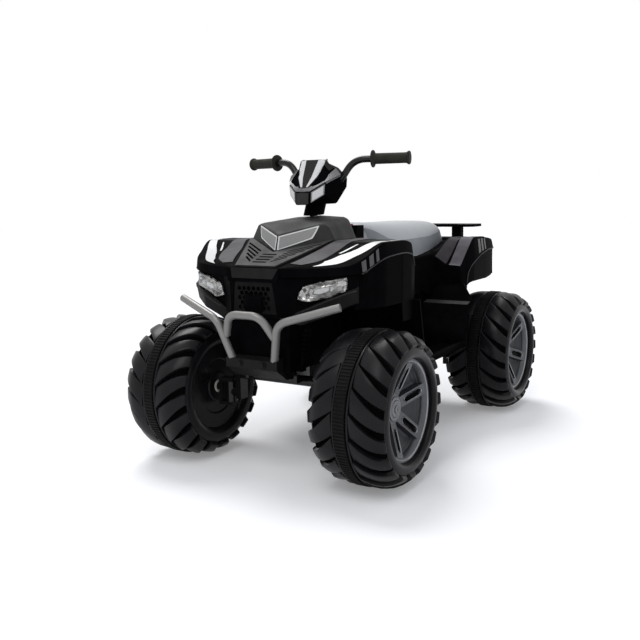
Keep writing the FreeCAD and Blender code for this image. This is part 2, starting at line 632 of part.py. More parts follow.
def make_beam():
    """Steel cross tube with a drop plate and kingpin eye at each end and two brackets up to the tub."""
    tube_bar = rod("beam_tube", "beam_radius", "2 * beam_drop_x", ("-beam_drop_x", FRONT_Y, "beam_height"), "X")
    arms = [rod("beam_arm", "beam_radius", "kingpin_x - beam_drop_x", (start, FRONT_Y, "eye_height"), "X")
            for start in ("beam_drop_x", "-kingpin_x")]
    drops = [block("beam_drop_plate", (f"{sign}beam_drop_x - beam_drop / 2", f"{FRONT_Y} - beam_radius - 2",
                                       "eye_height - beam_radius - 2"),
                   ("beam_drop", "2 * beam_radius + 4", "beam_height - eye_height + 2 * beam_radius + 4"))
             for sign in ("", "-")]
    eyes = [rod("beam_eye", "eye_radius", "eye_high - eye_low", (f"{sign}kingpin_x", FRONT_Y, "eye_low"))
            for sign in ("", "-")]
    brackets = [block("beam_bracket", (f"{sign}beam_bracket_x - 4", f"{FRONT_Y} - 32", "beam_height"),
                      ("8", "50", "tub_nose_low - beam_height")) for sign in ("", "-")]
    bores = [rod("beam_bore", "kingpin_radius + running_gap", "eye_high - eye_low + 40",
                 (f"{sign}kingpin_x", FRONT_Y, "eye_low - 20")) for sign in ("", "-")]
    return cut("front_beam", join("beam_blank", [tube_bar, *arms, *drops, *eyes, *brackets]), bores)


# Chassis
def make_tub():
    """Lower body: hollow tub with footboards, moulded struts, pedal ears and the column's lower bearing."""
    def box(low, high):
        """A box between two corners."""
        return Part.makeBox(high[0] - low[0], high[1] - low[1], high[2] - low[2], V(*low))
    half, nose_half = value("tub_half"), value("tub_front_half")
    nose_low, top = value("tub_nose_low"), value("tub_top")
    nose, step = value("tub_nose_y"), value("tub_step_y")
    wall = value("tub_wall")
    shape = hull(0).fuse(box((-nose_half, nose, nose_low), (nose_half, step, top)))
    inner = hull(wall).fuse(box((-nose_half + wall, nose + wall, nose_low + wall), (nose_half - wall, step + 20, top + 10)))
    shape = shape.cut(inner)
    ledge_end = value("seat_front_y") + 180
    pieces = []
    for side in (1, -1):
        pieces.append(footboard(side))
        x0, x1 = sorted((side * (half - 1), side * (half + 12)))
        pieces.append(box((x0, value("leg_rear_y"), top - 4), (x1, ledge_end, top + 2.7)))
        pieces += strut(side)
    bearing = Part.makeCylinder(value("column_radius") + 6, 36, V(0, 0, 26))
    bearing.Placement = COLUMN_PLACE
    floor_cut = box((-40, nose, 0), (40, step, nose_low))
    pieces.append(bearing.cut(floor_cut))
    for offset in (-1, 1):
        ear_x = value("pedal_x") + offset * (value("pedal_width") / 2 + 5)
        pieces.append(box((ear_x - 4, value("pedal_y") - 7, value("board_floor") - 1),
                          (ear_x + 4, value("pedal_y") + 7, value("pedal_z") + 7)))
    shape = shape.fuse(pieces).removeSplitter()
    column_way = Part.makeCylinder(value("column_radius + running_gap"), 200)
    column_way.Placement = COLUMN_PLACE
    pedal_way = Part.makeCylinder(value("pedal_pin + running_gap"), value("pedal_width") + 40,
                                  V(value("pedal_x") - value("pedal_width") / 2 - 20, value("pedal_y"), value("pedal_z")),
                                  V(1, 0, 0))
    axle_way = Part.makeCylinder(value("axle_radius + side_gap"), 800, V(-400, value(REAR_Y), value("wheel_radius")),
                                 V(1, 0, 0))
    shafts = [Part.makeCylinder(value("shaft_radius") + 4, 60, V(side * half - 30, *motor_centre()), V(1, 0, 0))
              for side in (1, -1)]
    return solid_feature("chassis_tub", shape.cut([column_way, pedal_way, axle_way, *shafts]))


def hull(inset):
    """Middle of the tub with sloping ends, drawn in by a wall; with a wall it runs out at the top."""
    half = value("tub_half") - inset
    low, top = value("tub_low") + inset, value("tub_top") + 3 * inset
    step, tail = value("tub_step_y") + inset, value("tub_tail_y") - inset
    side = [(step, top), (step, value("tub_nose_low") + inset), (step + 60, low), (tail - 30, low), (tail, low + 90),
            (tail, top)]
    return prism([V(-half, y, z) for y, z in side], V(2 * half, 0, 0))


def footboard(side):
    """Bent floor from the front fender's leg to the rear fender, with a low outer kerb."""
    wall = value("board_wall")
    floor, top = value("board_floor"), value("board_top")
    front, back = value("board_front_y"), value("board_back_y")
    front_top, back_top = value("board_front_top_y"), value("board_back_top_y")
    x0 = value("tub_half") - 1
    ledge = floor + value("board_ledge")
    run = [(front_top, top), (front - 12, floor + 40), (front, floor), (back, floor), (back + 12, ledge - 4),
           (back_top - 16, ledge + 6), (back_top, top)]
    under = [(back_top + wall, top), (back_top - 16 + wall, ledge + 6 - wall), (back + 12 + wall, ledge - 4 - wall),
             (back + wall, floor - wall), (front - 2, floor - wall), (front - 12 - wall, floor + 38),
             (front_top - wall, top)]
    sheet = prism([V(x0, y, z) for y, z in run + under], V(value("board_half") - x0, 0, 0))
    kerb = Part.makeBox(6, back - front + 4, 16, V(value("board_half") - 6, front - 2, floor - wall))
    ribs = [Part.makeBox(value("board_half") - x0 - 40, 5, 2.5, V(x0 + 18, front + 30 + 22 * k, floor - 0.5))
            for k in range(9)]
    board = sheet.fuse([kerb, *ribs])
    return board if side > 0 else board.mirror(V(), V(1, 0, 0))


def strut(side):
    """Moulded shock absorber beside the tub's nose, with a bridge at each end."""
    head = V(side * 99, value(FRONT_Y) - 42, value("tub_top") - 12)
    foot = V(side * 91, value(FRONT_Y) - 52, value("tub_nose_low") + 6)
    axis = (foot - head).normalize()
    length = (foot - head).Length
    sleeve = Part.makeCylinder(6, length, head, axis)
    coils = [Part.makeCylinder(9.5, 4.5, head + axis * (12 + 9 * k), axis) for k in range(6)]
    inner = value("tub_front_half") - 2
    bridges = []
    for spot in (head, foot):
        x0, x1 = sorted((side * inner, spot.x + side * 4))
        bridges.append(Part.makeBox(x1 - x0, 16, 10, V(x0, spot.y - 8, spot.z - 5)))
    return [sleeve, *coils, *bridges]


# Front bodywork
def hood_z(y):
    """Height of the bonnet's flat top at a place along the bike."""
    slope = value("hood_rear_z - hood_front_z") / value("hood_rear_y - hood_front_y")
    return value("hood_front_z") + (y - value("hood_front_y")) * slope


def skin(stations, wall, fold):
    """Open-bottomed shell through sections across the bike.

    Each section is a list of (x, z) points on the outer skin from the middle to the lower edge;
    with fold, the last two points lie on the inner side of a turned-in lip.
    """
    sections = []
    for y, points in stations:
        top = points[:-3] if fold else points[:-1]
        inner = [(max(x - wall * step / (len(top) - 1), 0), z - wall) for step, (x, z) in enumerate(top)]
        ends = points[-2:] if fold else points[-1:]
        inner += [(x - wall, z) for x, z in ends]
        half = points[1:] + inner[:0:-1]
        left = [V(x, y, z) for x, z in half]
        right = [V(-x, y, z) for x, z in reversed(half)]
        sections.append([V(0, y, points[0][1])] + left + [V(0, y, inner[0][1])] + right)
    return ruled(sections)


def make_front_cowl():
    """Bonnet and both front fenders in one shell, with turned-in arch lips and a leg down to each footboard."""
    out = value("fender_half")
    top = value("fender_top")
    low = value("arch_low")
    inset = value("arch_inset")
    hood = value("hood_half")
    front = value("hood_front_y")
    rear = value("hood_rear_y")
    drop = value("lip_drop")
    lamp_y = front + 49
    corner_y = front + 76
    leg_fall = 26

    def leg(y, foot):
        """A section of the leg, whose top falls away towards its rear edge."""
        share = (y - value("leg_rear_y")) / leg_fall + 1
        ridge = hood_z(rear)
        return (y, [(0, ridge), (hood + 54, ridge - 1 - 7 * share), (out - 74, ridge - 5 - 17 * share),
                    (out - 1 - 5 * share, top - 6 - 38 * share), (out + 1 - 5 * share, top - 31 - 31 * share),
                    (out - 4.5 * share, top - 33 - 31 * share), (out - 1 - 4 * share, foot)])
    stations = [
        (front, [(0, hood_z(front)), (hood, hood_z(front)), (hood + 2, hood_z(front) - 1), (hood + 4, hood_z(front) - 3),
                 (hood + 4.5, hood_z(front) - 19), (hood + 3, hood_z(front) - 19.5), (hood + 2, hood_z(front) - 20)]),
        (lamp_y, [(0, hood_z(lamp_y)), (hood + 19, hood_z(lamp_y)), (out - 94, hood_z(lamp_y) - 3),
                  (out - 40, top - 46), (out - 38, top - 60), (out - 48, top - 60.5), (out - 50, top - 61)]),
        (corner_y, [(0, hood_z(corner_y)), (hood + 28, hood_z(corner_y)), (out - 84, hood_z(corner_y) - 2),
                    (out - 19, top - 34), (out - 17, top - 26 - drop), (out - inset - 17, top - 25 - drop),
                    (out - inset - 19, top - 28 - drop)]),
        (corner_y + 12, [(0, hood_z(corner_y + 12)), (hood + 32, hood_z(corner_y + 12)),
                         (out - 82, hood_z(corner_y + 12) - 2), (out - 16, top - 27), (out - 14, top - 20 - drop),
                         (out - inset - 14, top - 19 - drop), (out - inset - 16, low)]),
        (rear, [(0, hood_z(rear)), (hood + 51, hood_z(rear)), (out - 74, hood_z(rear) - 2), (out - 3, top),
                (out, top - drop), (out - inset, top - drop + 1), (out - inset - 2, low)]),
        (value("leg_front_y"), [(0, hood_z(rear)), (hood + 54, hood_z(rear)), (out - 74, hood_z(rear) - 1),
                                (out, top), (out + 2, top - 26), (out - inset, top - 25), (out - inset - 2, low)]),
        (value("leg_front_y") + 5, [(0, hood_z(rear)), (hood + 54, hood_z(rear)), (out - 74, hood_z(rear) - 1),
                                    (out, top), (out + 2, top - 26), (out + 1, top - 28), (out, value("leg_low"))]),
        leg(value("leg_rear_y") - leg_fall, value("leg_low")),
        leg(value("leg_toe_y"), value("leg_low")),
        leg(value("leg_toe_y") + 1, low),
        leg(value("leg_rear_y"), low),
    ]
    shell = skin(stations, value("cowl_wall"), True)
    column_way = Part.makeCylinder(value("column_radius") + 14, value("column_length"))
    column_way.Placement = COLUMN_PLACE
    return solid_feature("front_cowl", shell.cut(column_way))


def make_vent():
    """Louvred panel on the bonnet's slope, notched for the scoop's prow."""
    slope = math.atan2(value("hood_rear_z - hood_front_z"), value("hood_rear_y - hood_front_y"))
    lift = value("seat_gap")
    run = 1 / math.cos(slope)
    front = 3
    rear = (value("hood_rear_y") - value("hood_front_y") - 6) * run
    notch = (value("scoop_front_y") - value("hood_front_y") - 8) * run
    panel = body("hood_vent")
    near = "hood_half - 10"
    far = "scoop_half"
    padded(panel, "XY_Plane", [[(f"-({near})", str(front)), (near, str(front)), (far, str(rear)),
                                (f"{far} - 10", str(rear)), ("0", str(notch)), (f"-({far} - 10)", str(rear)),
                                (f"-({far})", str(rear))]], "cowl_wall")
    rows, pitch, high = 5, 13, 6
    slots = []
    for row in range(rows):
        base = front + 14 + row * pitch
        if row < rows - 1:
            slots.append([("-17", str(base)), ("17", str(base)), ("17", str(base + high)), ("-17", str(base + high))])
        inner, outer, rise = 24 + row * 2, 50 + row * 10, 26 + row * 5
        side = [(str(inner), str(base + 3)), (str(outer), str(base + rise)), (str(outer), str(base + rise + high)),
                (str(inner), str(base + 3 + high))]
        slots += [side, mirrored_loop(side)]
    pocketed(panel, "XY_Plane", slots, None)
    panel.Placement = FreeCAD.Placement(
        V(0, value("hood_front_y") - lift * math.sin(slope), value("hood_front_z") + lift * math.cos(slope)),
        FreeCAD.Rotation(V(1, 0, 0), math.degrees(slope)))
    return panel


def scoop_corners():
    """Corners of the scoop; the top front corner lies in the plane of the wedge-shaped front facet."""
    front = value("scoop_front_y")
    rear = value("scoop_rear_y")
    lift = value("seat_gap")
    half = value("scoop_half")
    top = value("scoop_top")
    ridge = value("scoop_ridge")
    shoulder_y = value("hood_rear_y")
    b0 = V(0, front, hood_z(front) + lift)
    b1 = V(half, shoulder_y, hood_z(shoulder_y) + lift)
    t0 = V(0, front + 10, b0.z + 34)
    normal = (b1 - b0).cross(t0 - b0)
    top_half = value("scoop_top_half")
    shoulder = b0.y - (normal.x * top_half + normal.z * (top - b0.z)) / normal.y
    base = value("hood_rear_z") + lift
    t3 = V(top_half - 4, rear - 8, ridge - 5)
    corners = {
        "b0": b0, "b1": b1, "t0": t0, "t1": V(top_half, shoulder, top), "b3": V(half - 4, rear, base), "t3": t3,
        "c1": V(0, shoulder, top + 4), "c3": V(0, rear - 8 * (ridge - base) / (t3.z - base), ridge),
    }
    for name in ("b1", "t1", "b3", "t3"):
        corners[name + "r"] = V(-corners[name].x, corners[name].y, corners[name].z)
    return corners


SCOOP_FACES = [
    ["b0", "b1", "t1", "t0"], ["b0", "t0", "t1r", "b1r"], ["b1", "b3", "t3"], ["b1", "t3", "t1"],
    ["b1r", "t3r", "b3r"], ["b1r", "t1r", "t3r"], ["t0", "t1", "c1"], ["t0", "c1", "t1r"],
    ["t1", "t3", "c3"], ["t1", "c3", "c1"], ["t1r", "c3", "t3r"], ["t1r", "c1", "c3"],
    ["b3", "b3r", "t3r", "c3", "t3"], ["b0", "b1r", "b1"], ["b1", "b1r", "b3r", "b3"],
]


def make_scoop():
    """Raised hollow scoop with a prow, and the two silver wedges on its front facets."""
    corners = scoop_corners()
    outer = faceted(corners, SCOOP_FACES)
    middle = V(0, (corners["b0"].y + corners["b3"].y) / 2 - 10, corners["b1"].z)
    share = 1 - 2 * value("scoop_wall") / value("scoop_half")
    inner = {name: middle + (spot - middle) * share - V(0, 0, 2) for name, spot in corners.items()}
    column_way = Part.makeCylinder(value("column_radius + running_gap"), value("column_length"))
    column_way.Placement = COLUMN_PLACE
    shell = outer.cut([faceted(inner, SCOOP_FACES), column_way])
    wedges = []
    for names in (("b0", "b1", "t1", "t0"), ("b0", "b1r", "t1r", "t0")):
        low_in, low_out, high_out, high_in = (corners[name] for name in names)
        def at(across, up):
            """A spot on the facet by its share across and up."""
            low = low_in + (low_out - low_in) * across
            high = high_in + (high_out - high_in) * across
            return low + (high - low) * up
        normal = (low_out - low_in).cross(high_in - low_in).normalize()
        out = normal if normal.y < 0 else normal * -1
        wedges.append(prism([at(0.06, 0.3), at(0.9, 0.32), at(0.93, 0.85), at(0.06, 0.85)], out * 2))
    return [solid_feature("hood_scoop", shell), solid_feature("scoop_trim", Part.makeCompound(wedges))]


def fascia_sections(front_shift, back_shift):
    """Sections of the fascia's band across the bike: front and back faces shifted along Y."""
    low = value("tub_top + seat_gap")
    nose = value("hood_front_y") - value("nose_lean")
    lip = value("hood_front_z - nose_drop")
    half = [(0.5 * value("hood_half"), nose + 1, nose + 6, lip, low), (value("hood_half") - 1, nose + 1, nose + 6, lip, low),
            (90, nose + 26, nose + 27, lip + 1, low + 8), (182, nose + 59, nose + 59, lip + 5.7, low + 47),
            (196, nose + 78, nose + 72, lip + 7, low + 52)]
    sections = []
    for side in (-1, 1):
        for x, y_top, y_low, z_top, z_low in (reversed(half) if side < 0 else half):
            sections.append([V(side * x, y_top + front_shift, z_top), V(side * x, y_low + front_shift, z_low),
                             V(side * x, y_low + back_shift, z_low), V(side * x, y_top + back_shift, z_top)])
    return sections


LAMP_OUTLINE = [(94, 372), (104, 391), (136, 399), (180, 406), (178, 386), (150, 375), (112, 367)]
GRILLE_OUTLINE = [(-46, 400), (46, 400), (54, 336), (-54, 336)]


def lamp_prism(side, inset):
    """A headlamp's outline pushed right through the fascia, drawn in by a gap."""
    centre = (sum(x for x, _ in LAMP_OUTLINE) / len(LAMP_OUTLINE), sum(z for _, z in LAMP_OUTLINE) / len(LAMP_OUTLINE))
    spots = []
    for x, z in LAMP_OUTLINE:
        reach = math.hypot(x - centre[0], z - centre[1])
        share = 1 - inset / reach
        spots.append(V(side * (centre[0] + (x - centre[0]) * share), -520, centre[1] + (z - centre[1]) * share))
    return prism(spots, V(0, 300, 0))


def make_fascia():
    """Nose and lamp surround with its lenses, reflectors and honeycomb grille."""
    wall = value("fascia_wall")
    lean = value("nose_lean")
    front = value("hood_front_y") - value("seat_gap")
    top = value("hood_front_z")
    nose_half = value("hood_half") + 2
    drop = value("nose_drop")
    nose_side = [(front, top), (front - lean, top - drop), (front - lean, top - drop - 6), (front, top - drop - 6)]
    nose = prism([V(-nose_half, y, z) for y, z in nose_side], V(2 * nose_half, 0, 0))
    band = ruled(fascia_sections(0, wall))
    openings = [lamp_prism(side, 0) for side in (1, -1)]
    grille_way = prism([V(x, -520, z) for x, z in GRILLE_OUTLINE], V(0, 300, 0))
    fascia = band.fuse(nose).removeSplitter().cut(openings + [grille_way])
    gap = value("lamp_gap")
    lenses = [lamp_prism(side, gap).common(band) for side in (1, -1)]
    deep = ruled(fascia_sections(wall, wall + 18))
    reflectors = []
    for side in (1, -1):
        cup = lamp_prism(side, -1.5).common(deep)
        hollow = lamp_prism(side, gap + 4).common(ruled(fascia_sections(wall - 1, wall + 15)))
        reflectors.append(cup.cut(hollow))
    return [solid_feature("front_fascia", fascia), solid_feature("headlamp_lenses", Part.makeCompound(lenses)),
            solid_feature("headlamp_reflectors", Part.makeCompound(reflectors)), make_grille()]


def make_grille():
    """Plate with blind honeycomb cells that fills the fascia's middle opening."""
    gap = value("lamp_gap")
    wall = value("fascia_wall")
    cell_end = value("hood_front_y - nose_lean") + wall + 6
    plate = prism([V(x - math.copysign(gap, x), -520, z - math.copysign(gap, z - 368)) for x, z in GRILLE_OUTLINE],
                  V(0, 300, 0))
    plate = plate.common(ruled(fascia_sections(2, wall + value("grille_back"))))
    cell = 5.2
    holes = []
    for row in range(-3, 4):
        for column in range(-4, 5):
            x = (column + 0.5 * (row % 2)) * 11.5
            z = 368 + row * 9.6
            if abs(x) + cell > 44 or abs(z - 368) + cell > 31:
                continue
            spots = [V(x + cell * math.sin(math.radians(60 * k)), -520, z + cell * math.cos(math.radians(60 * k)))
                     for k in range(6)]
            holes.append(prism(spots, V(0, cell_end + 520, 0)))
    return solid_feature("nose_grille", plate.cut(holes))


def bumper_paths():
    """Corners of the bull bar's three tubes: two outer ones and the arch between them."""
    outer = [V(191, -415, 358), V(72, -453, 324), V(48, -430, 232)]
    arch = [V(58, -441.5, 293), V(37, -460, 338)]
    left = [outer]
    right = [[V(-spot.x, spot.y, spot.z) for spot in outer]]
    return left + right + [arch + [V(-spot.x, spot.y, spot.z) for spot in reversed(arch)]]


def make_bumper():
    """Welded bull bar and the skid that carries its lower ends."""
    radius = value("bumper_radius")
    bend = value("bumper_bend")
    tubes = [tube(path, radius, bend) for path in bumper_paths()]
    bar = tubes[0].fuse(tubes[1:])
    nose = value("tub_nose_y")
    low = value("tub_nose_low")
    side = [(nose, low + 28), (nose - 23, low + 24), (nose - 23, low + 6), (nose + 12, low - 18), (nose + 38, low - 18),
            (nose + 38, low), (nose, low)]
    skid = prism([V(-62, y, z) for y, z in side], V(124, 0, 0))
    sockets = [tube(path, radius + value("side_gap"), bend) for path in bumper_paths()[:2]]
    return [solid_feature("bull_bar", bar), solid_feature("front_skid", skid.cut(sockets))]


# Seat, rear bodywork and rack
def seat_base(y):
    """Height of the seat's underside along the bike."""
    spots = [(value("seat_front_y") - 70, value("seat_front_base")), (value("seat_front_y"), value("seat_front_base")),
             (108, value("seat_mid_base")), (230, value("seat_mid_base") + 10), (value("seat_rear_y"), value("seat_rear_base"))]
    for (y0, z0), (y1, z1) in zip(spots, spots[1:]):
        if y <= y1:
            return z0 + (z1 - z0) * (y - y0) / (y1 - y0)
    return spots[-1][1]


def seat_sections(inset):
    """Sections of the saddle across the bike, drawn in by a wall; with a wall they run out below."""
    half = value("seat_half")
    top = value("seat_top")
    front, rear = value("seat_front_y"), value("seat_rear_y")
    shape = [(front + inset, 0.56, 0.40, top - 2), (front + 32, 0.84, 0.62, top), (108, 1.0, 0.74, top - 3),
             (230, 0.92, 0.70, top - 1), (rear - 22, 0.84, 0.58, top - 4), (rear - inset, 0.78, 0.52, top - 30)]
    sections = []
    for y, wide, narrow, crown in shape:
        base = seat_base(y)
        rise = crown - base
        right = [(wide * half - 2, base - inset), (wide * half, base + 0.2 * rise), (wide * half - 5, base + 0.5 * rise),
                 (narrow * half + 6, base + 0.88 * rise - inset), (narrow * half - 10, base + 0.97 * rise - inset)]
        left = [V(-(x - inset), y, z) for x, z in reversed(right)]
        sections.append([V(x - inset, y, z) for x, z in right] + [V(0, y, crown - inset)] + left)
    return sections


def make_seat():
    """Moulded hollow saddle: crowned top with sides drawn in above its lower edge."""
    return solid_feature("seat", ruled(seat_sections(0)).cut(ruled(seat_sections(value("seat_wall")))))


def make_rear_cowl():
    """Seat base and both rear fenders in one shell with a closed tail."""
    out = value("rear_half")
    top = value("rear_top")
    low = value("skirt_low")
    deck = value("deck_z")
    tail = value("rear_tail_y")
    foot = value("tub_top + 3")
    gap = value("seat_gap")
    tub = value("tub_half")
    rear = value("seat_rear_y")

    def base(y):
        """The skin's height under the seat."""
        return seat_base(y) - gap
    start = value("leg_rear_y") + gap
    front = value("seat_front_y")
    stations = [
        (start, [(0, base(start)), (86, base(start)), (104, base(start) - 6), (tub + 4, 405), (tub + 6, foot)]),
        (front, [(0, base(front)), (86, base(front)), (104, base(front) - 6), (tub + 4, 405), (tub + 6, foot)]),
        (108, [(0, base(108)), (112, base(108)), (tub + 4, base(108) - 3), (tub + 10, 385), (tub + 12, foot)]),
        (165, [(0, base(165)), (110, base(165)), (out - 92, base(165) - 5), (out - 84, 388), (out - 82, low + 3)]),
        (195, [(0, base(195)), (108, base(195)), (out - 86, top - 44), (out - 14, top - 64), (out - 8, low + 3)]),
        (230, [(0, base(230)), (105, base(230)), (out - 78, top - 20), (out - 8, top - 31), (out - 2, low)]),
        (258, [(0, base(258)), (104, base(258)), (out - 70, top), (out - 5, top), (out, low)]),
        (rear, [(0, base(rear)), (95, base(rear)), (out - 70, top), (out - 4, top), (out, low)]),
        (rear + 10, [(0, deck), (95, deck), (out - 70, deck), (out - 4, top - 1), (out, low)]),
        (tail - 12, [(0, deck), (95, deck), (out - 70, deck), (out - 6, top - 7), (out - 2, low + 5)]),
        (tail, [(0, deck - 10), (95, deck - 10), (out - 72, deck - 10), (out - 12, top - 21), (out - 7, low + 7)]),
    ]
    shell = skin(stations, value("rear_cowl_wall"), False)
    end = stations[-1][1]
    rim = [V(x, tail, z) for x, z in end[1:]] + [V(-x, tail, z) for x, z in reversed(end[1:])]
    plate = prism(rim, V(0, -value("rear_cowl_wall"), 0))
    return solid_feature("rear_cowl", shell.fuse(plate).removeSplitter())


def make_rack():
    """Flat carrier with long slots and four fixing holes, on two posts."""
    rack = body("rack_plate")
    front, rear, half = "rack_front_y", "rack_rear_y", "rack_half"
    padded(rack, "XY_Plane", [[(f"-{half} + 12", front), (f"{half} - 12", front), (half, f"{front} + 12"),
                               (half, f"{rear} - 8"), (f"{half} - 8", rear), (f"-{half} + 8", rear),
                               (f"-{half}", f"{rear} - 8"), (f"-{half}", f"{front} + 12")]], "rack_thick", offset="rack_z")
    slots = []
    for low, high in ((f"-{half} + 44", "-24"), ("24", f"{half} - 44")):
        for row in range(2):
            y0 = f"{front} + {14 + 28 * row}"
            y1 = f"{front} + {34 + 28 * row}"
            slots.append([(low, y0), (high, y0), (high, y1), (low, y1)])
    pocketed(rack, "XY_Plane", slots, "rack_z")
    gap = "seat_gap"
    posts = [block("rack_post", (f"{sign}rack_post_x - rack_post_width / 2", f"{front} + 12", f"deck_z + {gap}"),
                   ("rack_post_width", "rack_post_depth", f"rack_z - deck_z - {gap} + 1")) for sign in ("", "-")]
    holes = [rod("rack_hole", "rack_hole_radius", "rack_thick + 20",
                 (f"{sx}rack_hole_dx / 2", f"({front} + {rear}) / 2 {sy} rack_hole_dy / 2", "rack_z - 10"))
             for sx in ("", "-") for sy in ("+", "-")]
    return cut("rear_rack", join("rack_blank", [rack, *posts]), holes)


def make_tail_lamps():
    """Two lamps on the tail panel."""
    lamps = [block("tail_lamp", (f"{sign}rear_half * 0.62 - 24", "rear_tail_y", "skirt_low + 42"), ("48", "5", "26"))
             for sign in ("", "-")]
    return group("tail_lamps", lamps)


# Drive
def gear_outline(teeth, phase, thin):
    """Corners of an involute gear with a 25 degree pressure angle, teeth thinned at the pitch circle."""
    module = value("gear_module")
    pitch = module * teeth / 2
    base = pitch * math.cos(math.radians(25))
    tip = pitch + 0.9 * module
    root = pitch - 1.2 * module
    half_tooth = math.pi / (2 * teeth) - thin / (2 * pitch)

    def involute(radius):
        """Polar angle of the involute at a radius."""
        if radius <= base:
            return 0.0
        slope = math.sqrt((radius / base) ** 2 - 1)
        return slope - math.atan(slope)
    at_pitch = involute(pitch)
    flank_radii = [max(base, root), (max(base, root) + pitch) / 2, pitch, (pitch + tip) / 2, tip]
    corners = []
    for tooth in range(teeth):
        centre = phase + 2 * math.pi * tooth / teeth
        flank = [(radius, half_tooth + at_pitch - involute(radius)) for radius in flank_radii]
        sides = [(root, -flank[0][1])] + [(radius, -angle) for radius, angle in flank]
        sides += [(radius, angle) for radius, angle in reversed(flank)] + [(root, flank[0][1])]
        for radius, angle in sides:
            corners.append(V(0, radius * math.cos(centre + angle), radius * math.sin(centre + angle)))
    return corners


def gear_spacing():
    """Distance between the rear axle and a motor shaft."""
    return value("gear_module * (gear_teeth + pinion_teeth) / 2")


def motor_centre():
    """Where the motor shafts run, as y and z."""
    return value(REAR_Y) - gear_spacing(), value("wheel_radius")


def make_drive(nut):
    """Motors, gearboxes, gears and the rear axle with its nuts."""
    nodes, boxes, motors, nuts = [], [], [], []
    axle_y, axle_z = value(REAR_Y), value("wheel_radius")
    motor_y, motor_z = motor_centre()
    inside = value("gearbox_x")
    depth = value("gearbox_depth")
    wall = value("gearbox_wall")
    wide = value("gear_width")
    gear_x = value("gear_x")
    teeth = int(value("gear_teeth"))
    small = int(value("pinion_teeth"))
    tip = value("gear_module * gear_teeth / 2") + 3.5
    near_tip = value("gear_module * pinion_teeth / 2") + 4
    bore = value("axle_radius + running_gap")
    wheel_face = value("track / 2 - inner_disc")
    sleeve_end = value("track / 2 + dish_floor")
    boss = value("sleeve_bore") + 5
    x_axis = V(1, 0, 0)
    left_gear = prism(gear_outline(teeth, math.pi + math.pi / teeth, 0.15), V(wide, 0, 0))
    left_gear.translate(V(gear_x, axle_y, axle_z))
    hub = Part.makeCylinder(boss, wheel_face - gear_x, V(gear_x, axle_y, axle_z), x_axis)
    spigot = Part.makeCylinder(value("sleeve_bore"), sleeve_end + value("bush_flange") - gear_x,
                               V(gear_x, axle_y, axle_z), x_axis)
    hole = Part.makeCylinder(bore, 400, V(0, axle_y, axle_z), x_axis)
    left_gear = left_gear.fuse([hub, spigot]).removeSplitter().cut(hole)
    pinion = prism(gear_outline(small, 0.0, 0.15), V(wide + 4, 0, 0))
    pinion.translate(V(gear_x - 2, motor_y, motor_z))
    shaft = Part.makeCylinder(value("shaft_radius"), gear_x - inside + 22, V(inside - 24, motor_y, motor_z), x_axis)
    pinion = pinion.fuse(shaft)
    box = Part.makeBox(depth, axle_y + tip + wall - (motor_y - near_tip - wall), 2 * (tip + wall),
                       V(inside, motor_y - near_tip - wall, axle_z - tip - wall))
    hollow = Part.makeBox(depth - 2 * wall, axle_y + tip - (motor_y - near_tip), 2 * tip,
                          V(inside + wall, motor_y - near_tip, axle_z - tip))
    axle_hole = Part.makeCylinder(value("axle_radius + side_gap"), 60, V(inside - 30, axle_y, axle_z), x_axis)
    boss_hole = Part.makeCylinder(boss + value("side_gap"), 30, V(inside + depth - wall - 1, axle_y, axle_z), x_axis)
    shaft_hole = Part.makeCylinder(value("shaft_radius") + 4, 30, V(inside - 10, motor_y, motor_z), x_axis)
    box = box.cut([hollow, axle_hole, boss_hole, shaft_hole])
    face = inside - value("tub_wall")
    motor = Part.makeCylinder(value("motor_radius"), value("motor_length"),
                              V(face - value("motor_length"), motor_y, motor_z), x_axis)
    motor = motor.cut(Part.makeCylinder(value("shaft_radius + running_gap"), 30, V(face - 26, motor_y, motor_z), x_axis))
    for side_name, side in (("left", 1), ("right", -1)):
        def handed(shape):
            """The shape on its own side of the bike."""
            return shape if side > 0 else shape.mirror(V(), x_axis)
        nodes.append(solid_feature("drive_gear_" + side_name, handed(left_gear)))
        nodes.append(solid_feature("motor_pinion_" + side_name, handed(pinion)))
        boxes.append(handed(box))
        motors.append(handed(motor))
        place = wheel_place("rear_" + side_name)
        shape = nut.Shape.copy()
        shape.Placement = place
        nuts.append(shape)
    nodes.append(solid_feature("gearboxes", Part.makeCompound(boxes)))
    nodes.append(solid_feature("drive_motors", Part.makeCompound(motors)))
    nodes.append(rod("rear_axle", "axle_radius", f"track + 2 * {AXLE_END}",
                     (f"-track / 2 - {AXLE_END}", REAR_Y, "wheel_radius"), "X"))
    return nodes, nuts


def make_fasteners(nuts):
    """Rear axle nuts and the bolts of the skid bracket."""
    nose = value("tub_nose_y") - 23
    bolts = []
    for x in (-28, 28):
        head = Part.makeCylinder(5, 4, V(x, nose, value("tub_nose_low") + 15), V(0, -1, 0))
        flange = Part.makeCylinder(8, 1.5, V(x, nose, value("tub_nose_low") + 15), V(0, -1, 0))
        bolts.append(head.fuse(flange))
    return solid_feature("fasteners", Part.makeCompound(nuts + bolts))


